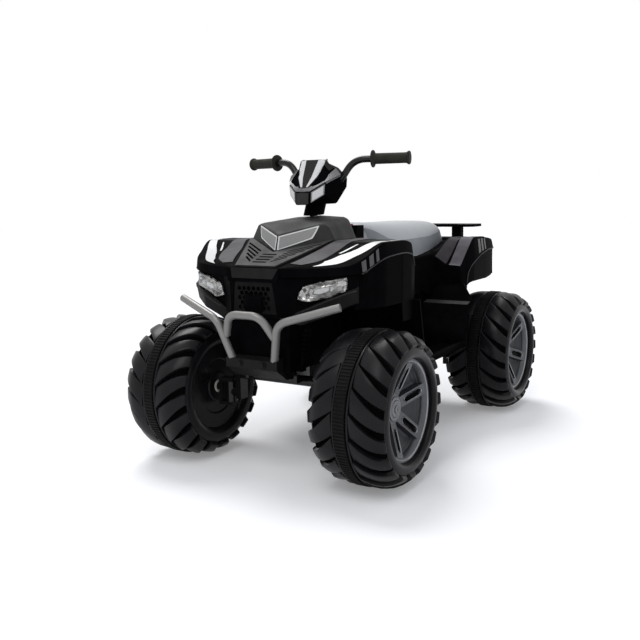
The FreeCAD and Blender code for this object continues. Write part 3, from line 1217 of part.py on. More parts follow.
# Controls and electrics
def make_pedal():
    """Treadle hinged at its heel, front end raised."""
    pedal = body("pedal_plate")
    tilt = "pedal_tilt"
    reach = f"(pedal_length * cos({tilt}))"
    lift = f"(pedal_length * sin({tilt}))"
    padded(pedal, "YZ_Plane", [[("pedal_y + 4", "pedal_z - 4"), ("pedal_y + 4", "pedal_z + 2"),
                                (f"pedal_y - {reach}", f"pedal_z + {lift} + 2"), (f"pedal_y - {reach} - 3", f"pedal_z + {lift} - 4"),
                                (f"pedal_y - {reach} + 4", f"pedal_z + {lift} - 7"), ("pedal_y - 6", "pedal_z - 4")]],
           "pedal_width", offset="pedal_x", middle=True)
    pin = rod("pedal_pivot", "pedal_pin", "pedal_width + 18", ("pedal_x - pedal_width / 2 - 9", "pedal_y", "pedal_z"), "X")
    return join("accelerator_pedal", [pedal, pin])


def make_panel():
    """Switch panel between scoop and seat, with a push button and a rocker."""
    half, depth, top = value("panel_half"), value("panel_depth"), value("panel_top")
    rear = value("seat_front_y") - 3
    base = value("seat_front_base")
    side = [(rear, base), (rear, top), (rear - depth + 12, top), (rear - depth, top - 22), (rear - depth, base)]
    panel = prism([V(-half, y, z) for y, z in side], V(2 * half, 0, 0))
    radius = value("button_radius")
    middle = rear - 14
    button_spot = V(half / 2, middle, top)
    well = Part.makeCylinder(radius + value("side_gap"), 18, button_spot - V(0, 0, 18))
    button = Part.makeCylinder(radius, 14 + value("button_travel"), button_spot - V(0, 0, 14))
    length, wide = value("rocker_length"), value("rocker_width")
    spot = V(-half / 2, middle, top - 4)
    rocker_well = Part.makeBox(length + 2, wide + 6, 24, spot - V(length / 2 + 1, wide / 2 + 3, 18))
    pivot = Part.makeCylinder(1.5, length + 10, spot - V(length / 2 + 5, 0, 0), V(1, 0, 0))
    pivot_way = Part.makeCylinder(1.5 + value("running_gap"), length + 12, spot - V(length / 2 + 6, 0, 0), V(1, 0, 0))
    cap = prism([spot + V(-length / 2, y, z) for y, z in
                 ((-wide / 2, 6), (0, 4.5), (wide / 2, 6), (wide / 2 - 2, -5), (-wide / 2 + 2, -5))], V(length, 0, 0))
    return [solid_feature("switch_panel", panel.cut([well, rocker_well, pivot_way])),
            solid_feature("power_button", button), solid_feature("direction_rocker", cap.fuse(pivot))]


def make_electrics():
    """Battery and control box on the floor of the tub."""
    floor = "tub_low + tub_wall"
    battery = block("battery_case", ("-battery_length / 2", "56", floor), ("battery_length", "battery_width", "battery_height"))
    posts = [rod("battery_post", "4", "8", (f"{sign}battery_length / 3", "70", f"{floor} + battery_height - 1"))
             for sign in ("", "-")]
    control = block("control_box", ("-45", "150", floor), ("90", "60", "32"))
    return [join("battery", [battery, *posts]), control]


def build():
    """Make every piece, in the order of the bench."""
    nodes, nut = make_wheels()
    for side_name, side in (("left", 1), ("right", -1)):
        nodes.append(make_knuckle(side_name, side))
    nodes += [make_tie_rod(), make_column()]
    nodes += make_handlebar()
    nodes += make_pod()
    nodes += [make_beam(), make_tub(), make_front_cowl(), make_vent()]
    nodes += make_scoop()
    nodes += make_fascia()
    nodes += make_bumper()
    nodes += [make_seat(), make_rear_cowl(), make_rack(), make_tail_lamps()]
    drive, nuts = make_drive(nut)
    nodes += drive
    nodes.append(make_fasteners(nuts))
    nodes.append(make_pedal())
    nodes += make_panel()
    nodes += make_electrics()
    return nodes


def write(nodes):
    """Check every object and write each piece to its own file."""
    DOC.recompute()
    for thing in DOC.Objects:
        if "Invalid" in thing.State or "Error" in thing.State:
            raise RuntimeError(f"{thing.Label} failed: {thing.State}")
    for node in nodes:
        if node.Shape.isNull() or not node.Shape.isValid():
            raise RuntimeError(f"{node.Label} has no valid shape")
    os.makedirs("parts", exist_ok=True)
    for node in nodes:
        node.Shape.exportStep(f"parts/{node.Label}.step")
    print(len(nodes), "pieces written")


write(build())
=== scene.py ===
"""Looks of the small battery quad bike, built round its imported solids.

Shapes are worked out in millimetres in the part's own frame (+Z up, front towards -Y, +X the rider's left)
and go into the meshes in metres.
"""
import logging
import math
from dataclasses import dataclass, field
from enum import Enum
from typing import Callable, Iterable, Sequence

import bmesh
import bpy
import numpy as np
from mathutils import Matrix, Vector


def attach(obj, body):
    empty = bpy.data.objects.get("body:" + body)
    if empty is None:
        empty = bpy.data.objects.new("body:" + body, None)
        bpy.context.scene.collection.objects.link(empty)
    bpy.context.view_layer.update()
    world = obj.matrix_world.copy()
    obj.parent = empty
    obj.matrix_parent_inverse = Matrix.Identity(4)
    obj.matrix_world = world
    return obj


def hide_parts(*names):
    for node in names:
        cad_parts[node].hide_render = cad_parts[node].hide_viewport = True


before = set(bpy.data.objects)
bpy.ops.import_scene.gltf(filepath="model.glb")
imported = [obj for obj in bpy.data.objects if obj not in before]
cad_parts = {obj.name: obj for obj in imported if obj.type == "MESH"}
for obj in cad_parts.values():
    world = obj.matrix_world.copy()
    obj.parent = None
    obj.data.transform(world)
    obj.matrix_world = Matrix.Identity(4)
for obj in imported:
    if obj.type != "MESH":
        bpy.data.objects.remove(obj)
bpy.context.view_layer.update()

LOG = logging.getLogger("quad_bike")
Array = np.ndarray
Pair = tuple[float, float]
Triple = tuple[float, float, float]
Quad = tuple[float, float, float, float]
Pairs = tuple[Pair, ...]
Triples = tuple[Triple, ...]
MM = 0.001
FLIP_X = np.array([-1.0, 1.0, 1.0])
# Share of a run that the rounding of a corner may take, and the side that the circles of tubes lean to
ARC_LIMIT = 0.45
TUBE_SIDE = np.array([0.31, 0.89, 0.33])
# Points nearer than this many metres are merged, and rounded edges have so many steps
MERGE_DIST = 1e-5
BEVEL_STEPS = 6

# Patterns of the finishes: lumps per metre, the middle of the noise, and the pull along brushed metal
COLOUR_LUMPS = 38.0
GLOSS_LUMPS = 17.0
NOISE_MIDDLE = (0.35, 0.65)
PAINT_STOPS = (0.3, 0.7)
BRUSH_PULL = (0.06, 1.0, 1.0)
NOISE_DETAIL = 3.0
COAT_ROUGH = 0.12
BUMP_STRENGTH = 0.5


class Grain(Enum):
    """What the surface of a finish looks like close up."""

    MOULDED = "moulded"
    RUBBER = "rubber"
    FLAKE = "flake"
    BRUSHED = "brushed"
    GLASS = "glass"


@dataclass(frozen=True)
class Finish:
    """One finish: its colour, gloss and close-up grain."""

    name: str
    colour: Triple
    rough: Pair
    grain: Grain = Grain.MOULDED
    metal: float = 0.0
    specular: float = 0.5
    drift: float = 0.25
    depth: float = 0.00012
    size: float = 700.0
    coat: float = 0.0
    clear: float = 0.0

    def material(self) -> bpy.types.Material:
        """Find or make this finish's material.

        Returns:
            The node material, shared by every piece of the finish.
        """
        label = self.name + "_finish"
        made = bpy.data.materials.get(label)
        if made:
            return made
        made = bpy.data.materials.new(label)
        made.use_nodes = True
        made.diffuse_color = (*self.colour, 1.0)
        tree = made.node_tree
        shader = tree.nodes["Principled BSDF"]
        shader.inputs["Metallic"].default_value = self.metal
        shader.inputs["Specular IOR Level"].default_value = self.specular
        shader.inputs["Coat Weight"].default_value = self.coat
        shader.inputs["Coat Roughness"].default_value = COAT_ROUGH
        shader.inputs["Transmission Weight"].default_value = self.clear
        place = tree.nodes.new("ShaderNodeTexCoord").outputs["Object"]
        if self.grain is Grain.BRUSHED:
            stretch = tree.nodes.new("ShaderNodeMapping")
            stretch.inputs["Scale"].default_value = BRUSH_PULL
            tree.links.new(place, stretch.inputs["Vector"])
            place = stretch.outputs["Vector"]
        self._paint(tree, place, shader)
        self._gloss(tree, place, shader)
        if self.grain is not Grain.GLASS:
            self._bumps(tree, place, shader)
        return made

    def _noise(self, tree: bpy.types.NodeTree, place: bpy.types.NodeSocket, scale: float) -> bpy.types.NodeSocket:
        """Soft cloudy noise over the piece.

        Args:
            tree: The material's nodes.
            place: Where the pattern is read.
            scale: Lumps per metre.

        Returns:
            The noise's value.
        """
        noise = tree.nodes.new("ShaderNodeTexNoise")
        noise.inputs["Scale"].default_value = scale
        noise.inputs["Detail"].default_value = NOISE_DETAIL
        tree.links.new(place, noise.inputs["Vector"])
        return noise.outputs["Fac"]

    def _cells(self, tree: bpy.types.NodeTree, place: bpy.types.NodeSocket, scale: float) -> bpy.types.Node:
        """Small cells, as in flaked paint or textured rubber.

        Args:
            tree: The material's nodes.
            place: Where the pattern is read.
            scale: Cells per metre.

        Returns:
            The cell texture.
        """
        cells = tree.nodes.new("ShaderNodeTexVoronoi")
        cells.inputs["Scale"].default_value = scale
        tree.links.new(place, cells.inputs["Vector"])
        return cells

    def _paint(self, tree: bpy.types.NodeTree, place: bpy.types.NodeSocket, shader: bpy.types.Node) -> None:
        """Colour that drifts a little over the surface, or sparkles where the finish has flakes.

        Args:
            tree: The material's nodes.
            place: Where the pattern is read.
            shader: The surface shader.
        """
        ramp = tree.nodes.new("ShaderNodeValToRGB")
        low, high = ramp.color_ramp.elements
        low.position, high.position = PAINT_STOPS
        low.color = (*[part * (1 - self.drift) for part in self.colour], 1.0)
        high.color = (*[min(part * (1 + self.drift), 1.0) for part in self.colour], 1.0)
        if self.grain is Grain.FLAKE:
            source = self._cells(tree, place, self.size).outputs["Color"]
        else:
            source = self._noise(tree, place, COLOUR_LUMPS)
        tree.links.new(source, ramp.inputs["Fac"])
        tree.links.new(ramp.outputs["Color"], shader.inputs["Base Color"])

    def _gloss(self, tree: bpy.types.NodeTree, place: bpy.types.NodeSocket, shader: bpy.types.Node) -> None:
        """Roughness that wanders between two values, as handled plastic does.

        Args:
            tree: The material's nodes.
            place: Where the pattern is read.
            shader: The surface shader.
        """
        spread = tree.nodes.new("ShaderNodeMapRange")
        spread.inputs["From Min"].default_value, spread.inputs["From Max"].default_value = NOISE_MIDDLE
        spread.inputs["To Min"].default_value, spread.inputs["To Max"].default_value = self.rough
        tree.links.new(self._noise(tree, place, GLOSS_LUMPS), spread.inputs["Value"])
        tree.links.new(spread.outputs["Result"], shader.inputs["Roughness"])

    def _bumps(self, tree: bpy.types.NodeTree, place: bpy.types.NodeSocket, shader: bpy.types.Node) -> None:
        """Fine relief: cells on rubber, noise on every other grain.

        Args:
            tree: The material's nodes.
            place: Where the pattern is read.
            shader: The surface shader.
        """
        bump = tree.nodes.new("ShaderNodeBump")
        bump.inputs["Strength"].default_value = BUMP_STRENGTH
        bump.inputs["Distance"].default_value = self.depth
        if self.grain is Grain.RUBBER:
            source = self._cells(tree, place, self.size).outputs["Distance"]
        else:
            source = self._noise(tree, place, self.size)
        tree.links.new(source, bump.inputs["Height"])
        tree.links.new(bump.outputs["Normal"], shader.inputs["Normal"])


TYRE = Finish("tyre_black", (0.0064, 0.0056, 0.0070), (0.27, 0.38), Grain.RUBBER, specular=0.15, size=900.0,
              depth=0.00006)
# Painted shade: the groove floors get a darker copy of the tyre rubber without reflection, standing in for the shade
# between the lugs
GROOVE_SHADE = Finish("groove_painted_shade", (0.0026, 0.0024, 0.0028), (0.6, 0.7), Grain.RUBBER, specular=0.0, size=900.0,
                depth=0.00006)
BAND = Finish("band_rubber", (0.006, 0.006, 0.006), (0.5, 0.62), Grain.RUBBER, specular=0.08, size=1100.0)
RIM = Finish("rim_grey", (0.090, 0.092, 0.100), (0.30, 0.42), Grain.FLAKE, metal=0.5, drift=0.12, size=2400.0,
             depth=0.00003)
CAP = Finish("cap_grey", (0.17, 0.173, 0.184), (0.28, 0.40), Grain.FLAKE, metal=0.5, drift=0.12, size=2400.0,
             depth=0.00003)
BODY = Finish("body_black", (0.0026, 0.0024, 0.0030), (0.33, 0.37), specular=0.0035, depth=0.000012, size=600.0)
MATT = Finish("dark_grey", (0.023, 0.023, 0.023), (0.55, 0.68), specular=0.2, depth=0.0002, size=1300.0)
SILVER = Finish("silver_trim", (0.21, 0.21, 0.21), (0.28, 0.40), Grain.FLAKE, metal=0.35, drift=0.1,
                size=2600.0, depth=0.00003)
PALE = Finish("pale_edge", (0.72, 0.72, 0.72), (0.3, 0.42), drift=0.05, depth=0.00003)
LENS = Finish("clear_lens", (0.96, 0.97, 0.97), (0.02, 0.05), Grain.GLASS, clear=1.0, specular=0.1, drift=0.01)
# Painted glints: the reflector's colour swings widely from cell to cell, standing in for facets that catch the light
MIRROR = Finish("reflector", (0.22, 0.215, 0.207), (0.10, 0.2), Grain.FLAKE, metal=0.9, drift=0.95, size=150.0,
                depth=0.00002)
STEEL = Finish("steel", (0.50, 0.50, 0.49), (0.28, 0.42), Grain.BRUSHED, metal=1.0, drift=0.12, depth=0.00003)
AXLE = Finish("axle_steel", (0.16, 0.16, 0.165), (0.36, 0.5), Grain.BRUSHED, metal=0.9, drift=0.2, depth=0.00004)
BUMPER = Finish("bumper_grey", (0.205, 0.2, 0.194), (0.36, 0.48), Grain.FLAKE, metal=0.45, drift=0.07,
                size=2200.0, depth=0.00005)
BAR = Finish("bar_black", (0.006, 0.006, 0.006), (0.16, 0.24), specular=0.25, depth=0.00003)
GRIP = Finish("grip", (0.022, 0.022, 0.018), (0.68, 0.8), Grain.RUBBER, specular=0.15, size=1500.0, depth=0.0003)
SEAT = Finish("seat_silver", (0.40, 0.412, 0.43), (0.42, 0.54), Grain.FLAKE, metal=0.1, drift=0.05,
              size=2600.0, depth=0.00005)
RED = Finish("red_lens", (0.33, 0.008, 0.008), (0.08, 0.14), Grain.GLASS, specular=0.5, coat=0.4, drift=0.15)
NYLON = Finish("nylon", (0.62, 0.60, 0.53), (0.4, 0.5), drift=0.06)
CASE = Finish("battery_case", (0.018, 0.018, 0.020), (0.45, 0.6), specular=0.2)
CAN = Finish("motor_can", (0.40, 0.40, 0.39), (0.3, 0.42), Grain.BRUSHED, metal=1.0, drift=0.1, depth=0.00004)
RED_KEY = Finish("switch_red", (0.44, 0.015, 0.012), (0.3, 0.4), drift=0.08)
BLACK_KEY = Finish("switch_black", (0.010, 0.010, 0.010), (0.3, 0.42), specular=0.2)
WHITE_FILM = Finish("white_film", (0.66, 0.66, 0.66), (0.3, 0.4), drift=0.03, depth=0.00002)
SILVER_FILM = Finish("silver_film", (0.33, 0.33, 0.34), (0.3, 0.42), Grain.FLAKE, drift=0.08, size=2600.0,
                     depth=0.00002)
GREY_FILM = Finish("grey_film", (0.050, 0.050, 0.053), (0.34, 0.46), drift=0.06, depth=0.00002)
# Painted shade: a darker copy of the cover's grey on the panels between the spokes
COVER_PANEL_SHADE = Finish("cover_panel_painted_shade", (0.034, 0.035, 0.040), (0.42, 0.54), Grain.FLAKE, metal=0.3, drift=0.12,
                   size=2400.0, depth=0.00003)
# Painted highlight: a much lighter copy of the cover's grey on the lips round the slots and the bead inside the rim
COVER_LIP_HIGHLIGHT = Finish("cover_lip_painted_highlight", (0.34, 0.345, 0.36), (0.28, 0.40), Grain.FLAKE, metal=0.5, drift=0.08, size=2400.0,
                 depth=0.00002)
# Painted shade: near black in the cover's slots
SLOT_SHADE = Finish("slot_painted_shade", (0.006, 0.006, 0.007), (0.5, 0.6), specular=0.1, depth=0.00003)
# Painted highlight: purple-grey plates on the fender tops and beads along their lips, standing in for light reflected
# by the black plastic
FENDER_HIGHLIGHT = Finish("fender_painted_highlight", (0.030, 0.0265, 0.031), (0.40, 0.50), specular=0.12, depth=0.00003)
# Painted shade: a darker copy of the seat's silver on the lower part of its sides
SEAT_SIDE_SHADE = Finish("seat_side_painted_shade", (0.185, 0.198, 0.215), (0.40, 0.52), Grain.FLAKE, metal=0.1, drift=0.05,
                   size=2600.0, depth=0.00005)
BLADE = Finish("blade_black", (0.0085, 0.0083, 0.0085), (0.42, 0.52), specular=0.08, depth=0.00003)
# Painted highlight: a lighter purple-grey on the facet on top of each rear fender
REAR_FACET_HIGHLIGHT = Finish("facet_painted_highlight", (0.060, 0.054, 0.064), (0.45, 0.56), specular=0.2, depth=0.00005)
GRILLE = Finish("grille_black", (0.0062, 0.0061, 0.0062), (0.42, 0.52), specular=0.05, depth=0.00003)
POD_SILVER = Finish("pod_silver", (0.12, 0.12, 0.125), (0.32, 0.44), Grain.FLAKE, metal=0.5, drift=0.1,
                    size=2600.0, depth=0.00003)

NODE_FINISH: dict[str, Finish] = {
    "traction_band": BAND, "wheel_bushes": NYLON, "drive_gear": NYLON, "axle_nut": STEEL, "tie_rod": STEEL,
    "fasteners": BLADE, "steering_knuckle": BLADE, "motor_pinion": AXLE, "steering_column": AXLE, "rear_axle": AXLE,
    "front_beam": BAR, "steering_neck": BODY, "front_fascia": BODY, "nose_grille": GRILLE, "front_skid": BLADE,
    "rear_rack": BODY, "switch_panel": BODY, "hood_vent": MATT, "accelerator_pedal": MATT, "tail_lamps": RED,
    "gearboxes": CASE, "battery": CASE, "control_box": CASE, "drive_motors": CAN, "horn_button": RED_KEY,
    "power_button": RED_KEY, "direction_rocker": BLACK_KEY,
}


@dataclass(frozen=True)
class Patch:
    """A piece of surface: points in millimetres, and faces of four corners each."""

    points: Array
    faces: Array

    def flipped(self) -> "Patch":
        """The same surface facing the other way."""
        return Patch(self.points, self.faces[:, ::-1])

    def mirrored(self) -> "Patch":
        """The surface's twin on the other side of the bike."""
        return Patch(self.points * FLIP_X, self.faces[:, ::-1])

    def away_from(self, inside: Sequence[float]) -> "Patch":
        """Turn the surface so that on the whole it faces away from a point.

        Args:
            inside: A point behind the surface.

        Returns:
            The surface, flipped where the sum of normal times distance from the point is negative.
        """
        a, b, c, d = (self.points[self.faces[:, k]] for k in range(4))
        normal = np.cross(c - a, d - b)
        reach = (a + b + c + d) / 4 - np.asarray(inside, float)
        return self if float(np.sum(normal * reach)) >= 0 else self.flipped()

    def without(self, gone: Callable[[Array], Array]) -> "Patch":
        """Leave out the faces whose middles pass a test.

        Args:
            gone: Gives a truth value for each of a list of points.

        Returns:
            The surface that is left.
        """
        middle = self.points[self.faces].mean(axis=1)
        return Patch(self.points, self.faces[~gone(middle)])


def grid(points: Array, wrap_u: bool = False, wrap_v: bool = False) -> Patch:
    """Make a surface of a grid of points, joining each point to its next ones along both ways.

    Args:
        points: Points by row and column.
        wrap_u: Whether the last row joins the first.
        wrap_v: Whether the last column joins the first.

    Returns:
        The surface.
    """
    rows, columns = points.shape[:2]
    index = np.arange(rows * columns).reshape(rows, columns)
    index = np.vstack([index, index[:1]]) if wrap_u else index
    index = np.hstack([index, index[:, :1]]) if wrap_v else index
    corners = [index[:-1, :-1], index[:-1, 1:], index[1:, 1:], index[1:, :-1]]
    return Patch(points.reshape(-1, 3).astype(float), np.stack([part.ravel() for part in corners], axis=1))


def joined(patches: Iterable[Patch]) -> Patch:
    """Put several surfaces into one list of points and faces.

    Args:
        patches: The surfaces.

    Returns:
        One surface.
    """
    parts = list(patches)
    starts = np.cumsum([0] + [len(part.points) for part in parts[:-1]])
    return Patch(np.vstack([part.points for part in parts]),
                 np.vstack([part.faces + start for part, start in zip(parts, starts)]))


def both_sides(patch: Patch) -> Patch:
    """A surface together with its twin on the other side of the bike."""
    return joined([patch, patch.mirrored()])


def unit(vectors: Array) -> Array:
    """Vectors of the same directions with length one."""
    return vectors / np.maximum(np.linalg.norm(vectors, axis=-1, keepdims=True), 1e-12)


def step(low: float, high: float, amount: Array) -> Array:
    """Smooth step: 0 below low, 1 above high, and 3s^2 - 2s^3 of the share between them."""
    share = np.clip((amount - low) / (high - low), 0, 1)
    return share * share * (3 - 2 * share)


def rounded(corners: Array, radius: float | Sequence[float], steps: int = 4) -> Array:
    """Round the inner corners of polylines.

    Each inner corner becomes a quadratic arc that starts and ends a radius away from it along its two runs,
    or a fixed share of the run where that is less.

    Args:
        corners: Points with the polyline along the first axis; further axes hold more polylines.
        radius: How far from the corner the arc starts, for all inner corners or for each.
        steps: Points on each arc, less one.

    Returns:
        Points along the rounded polylines, on the first axis.
    """
    before, middle, after = corners[:-2], corners[1:-1], corners[2:]
    back, ahead = before - middle, after - middle
    reach = np.broadcast_to(np.asarray(radius, float), (len(middle),)).reshape(-1, *[1] * (corners.ndim - 1))
    start = middle + unit(back) * np.minimum(reach, ARC_LIMIT * np.linalg.norm(back, axis=-1, keepdims=True))
    end = middle + unit(ahead) * np.minimum(reach, ARC_LIMIT * np.linalg.norm(ahead, axis=-1, keepdims=True))
    share = np.linspace(0, 1, steps + 1).reshape(1, -1, *[1] * (corners.ndim - 1))
    arc = ((1 - share) ** 2 * start[:, None] + 2 * share * (1 - share) * middle[:, None] + share ** 2 * end[:, None])
    return np.concatenate([corners[:1], arc.reshape(-1, *corners.shape[1:]), corners[-1:]])


def smoothed(tracks: Array, knots: Array, places: Array) -> Array:
    """Carry points smoothly from station to station without overshoot.

    A cubic runs between each two stations. Its slope at a station is the weighted harmonic mean of the two
    neighbouring rates, or level where those rates have different signs.

    Args:
        tracks: Values by station on the first axis.
        knots: Where the stations are.
        places: Where values are wanted.

    Returns:
        The values at those places, on the first axis.
    """
    gap = np.diff(knots).reshape(-1, *[1] * (tracks.ndim - 1))
    rate = np.diff(tracks, axis=0) / gap
    first, last = 2 * gap[1:] + gap[:-1], gap[1:] + 2 * gap[:-1]
    level = rate[:-1] * rate[1:] <= 0
    safe = np.where(level, 1.0, rate[:-1]), np.where(level, 1.0, rate[1:])
    inner = np.where(level, 0.0, (first + last) / (first / safe[0] + last / safe[1]))
    slope = np.concatenate([rate[:1], inner, rate[-1:]])
    left = np.clip(np.searchsorted(knots, places, side="right") - 1, 0, len(knots) - 2)
    run = knots[left + 1] - knots[left]
    shape = (-1, *[1] * (tracks.ndim - 1))
    share = ((places - knots[left]) / run).reshape(shape)
    run = run.reshape(shape)
    return ((1 + 2 * share) * (1 - share) ** 2 * tracks[left] + share * (1 - share) ** 2 * run * slope[left]
            + share ** 2 * (3 - 2 * share) * tracks[left + 1] - share ** 2 * (1 - share) * run * slope[left + 1])


def ruled(first: Array, last: Array, share: Array) -> Array:
    """Straight lines between two edges: the first times 1 - share plus the last times share."""
    return first * (1 - share) + last * share


def reading(table: Sequence[Sequence[float]], places: Array) -> Array:
    """Values of a table of two columns at some places, straight between its rows."""
    return np.interp(places, *np.array(table, float).T)


def split(stations: Sequence[tuple[float, Pairs]]) -> tuple[Array, Array]:
    """Where stations stand along the bike, and their section points as x and z."""
    return np.array([y for y, _ in stations], float), np.array([points for _, points in stations], float)


def stood(flat: Array, places: Array) -> Array:
    """Flat section points, as x and z by place and point, set up at their places along the bike."""
    y = np.broadcast_to(places[:, None], flat.shape[:2])
    return np.stack([flat[..., 0], y, flat[..., 1]], axis=-1)


def between(knots: Array, count: int) -> Array:
    """Places along a run of stations: every station and evenly spaced places between its neighbours."""
    share = np.arange(count) / count
    return np.append((knots[:-1, None] + np.diff(knots)[:, None] * share).ravel(), knots[-1])


def tube(path: Array, radius: float | Array, count: int = 28) -> Patch:
    """Carry a circle along a path and close both ends with flat discs.

    At each point the circle stands square to the path, turned so that its first spoke leans to a fixed side.

    Args:
        path: Points along the middle.
        radius: The circle's radius, for all points or for each.
        count: Points round the circle.

    Returns:
        A closed tube.
    """
    ahead = unit(np.gradient(path, axis=0))
    side = unit(np.cross(ahead, TUBE_SIDE))
    rise = np.cross(side, ahead)
    angle = np.linspace(0, 2 * math.pi, count, endpoint=False)
    size = np.broadcast_to(np.asarray(radius, float), (len(path),))[:, None, None]
    ring = (path[:, None] + size * (np.cos(angle)[:, None] * side[:, None] + np.sin(angle)[:, None] * rise[:, None]))
    ends = np.repeat(path[[0, -1], None], count, axis=1)
    return grid(np.concatenate([ends[:1], ring, ends[1:]]), wrap_v=True)


def raised_plate(sheet: Array, inside: Sequence[float], height: float, sink: float = 0.4) -> Patch:
    """A thin plate on a grid of points: its top stands off along the grid's normals and its rim goes down into it.

    The normals are turned so that on the whole they point away from a given place.

    Args:
        sheet: Points by row and column on the surface that carries the plate.
        inside: A place behind that surface.
        height: How far the top stands off.
        sink: How far the rim goes below the surface.

    Returns:
        The plate with its rim, facing outwards.
    """
    normal = unit(np.cross(np.gradient(sheet, axis=0), np.gradient(sheet, axis=1)))
    normal = normal * np.sign(np.sum(normal * (sheet - np.asarray(inside, float))))
    top, foot = sheet + normal * height, sheet - normal * sink
    edges = [np.stack([foot[0], top[0]]), np.stack([top[-1], foot[-1]]),
             np.stack([foot[:, 0], top[:, 0]], axis=1), np.stack([top[:, -1], foot[:, -1]], axis=1)]
    return joined([grid(top), *[grid(edge) for edge in edges]]).away_from(inside)


def linked(name: str, data: bpy.types.ID) -> bpy.types.Object:
    """Put a mesh, a light or a camera into the scene as an object."""
    thing = bpy.data.objects.new(name, data)
    bpy.context.scene.collection.objects.link(thing)
    return thing


def piece(name: str, patch: Patch, finish: Finish, body: str, stands_for: Sequence[str] = (),
          closed: bool = True, wall: float = 0.0, sharp: float = 32.0) -> bpy.types.Object:
    """Put a surface into the scene as a piece that rides on a body.

    Points that fall together are merged first, so seams and poles close.

    Args:
        name: The piece's name.
        patch: Its surface.
        finish: Its finish.
        body: The body that it rides on.
        stands_for: The solids that it is shown in place of.
        closed: Whether it encloses a volume, so that its faces are turned outwards together.
        wall: Thickness given to an open sheet, inwards, in millimetres.
        sharp: Edges that bend by more degrees than this stay crisp.

    Returns:
        The new object.
    """
    mesh = bpy.data.meshes.new(name)
    count = len(patch.faces)
    mesh.vertices.add(len(patch.points))
    mesh.vertices.foreach_set("co", (patch.points * MM).astype(np.float32).ravel())
    mesh.loops.add(4 * count)
    mesh.loops.foreach_set("vertex_index", patch.faces.astype(np.int32).ravel())
    mesh.polygons.add(count)
    mesh.polygons.foreach_set("loop_start", np.arange(0, 4 * count, 4, dtype=np.int32))
    mesh.update(calc_edges=True)
    work = bmesh.new()
    work.from_mesh(mesh)
    bmesh.ops.remove_doubles(work, verts=work.verts, dist=MERGE_DIST)
    bmesh.ops.delete(work, geom=[spot for spot in work.verts if not spot.link_faces], context="VERTS")
    if closed:
        bmesh.ops.recalc_face_normals(work, faces=work.faces)
    work.to_mesh(mesh)
    work.free()
    mesh.shade_smooth()
    mesh.set_sharp_from_angle(angle=math.radians(sharp))
    thing = linked(name, mesh)
    mesh.materials.append(finish.material())
    if wall:
        thicken = thing.modifiers.new("wall", "SOLIDIFY")
        thicken.thickness = wall * MM
        thicken.offset = -1.0
    level = thing.modifiers.new("even_shading", "WEIGHTED_NORMAL")
    level.keep_sharp = True
    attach(thing, body)
    if stands_for:
        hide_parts(*stands_for)
    LOG.info("%s on %s, %d faces", name, body, len(mesh.polygons))
    return thing


def faceted_piece(name: str, spots: dict[str, Array], facets: Sequence[Sequence[str]],
                  soft: dict[frozenset[str], float], usual: float, finish: Finish, body: str,
                  stands_for: Sequence[str]) -> bpy.types.Object:
    """Put a closed set of flat facets into the scene, with its edges rounded by a bevel.

    Args:
        name: The piece's name.
        spots: Named corners in millimetres.
        facets: Names of each facet's corners in order.
        soft: How far from an edge its rounding starts, for edges given by their two corners.
        usual: The same for all other edges.
        finish: Its finish.
        body: The body that it rides on.
        stands_for: The solids that it is shown in place of.

    Returns:
        The new object.
    """
    names = list(spots)
    mesh = bpy.data.meshes.new(name)
    corners = [tuple(spots[spot] * MM) for spot in names]
    mesh.from_pydata(corners, [], [[names.index(spot) for spot in facet] for facet in facets])
    work = bmesh.new()
    work.from_mesh(mesh)
    bmesh.ops.recalc_face_normals(work, faces=work.faces)
    work.to_mesh(mesh)
    work.free()
    widest = max([usual, *soft.values()])
    weights = mesh.attributes.new("bevel_weight_edge", "FLOAT", "EDGE")
    size = [soft.get(frozenset(names[k] for k in edge.vertices), usual) / widest for edge in mesh.edges]
    weights.data.foreach_set("value", np.array(size, np.float32))
    thing = linked(name, mesh)
    mesh.materials.append(finish.material())
    mesh.shade_smooth()
    bevel = thing.modifiers.new("soft_edges", "BEVEL")
    bevel.limit_method = "WEIGHT"
    bevel.width = widest * MM
    bevel.segments = BEVEL_STEPS
    level = thing.modifiers.new("even_shading", "WEIGHTED_NORMAL")
    level.keep_sharp = True
    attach(thing, body)
    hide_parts(*stands_for)
    return thing


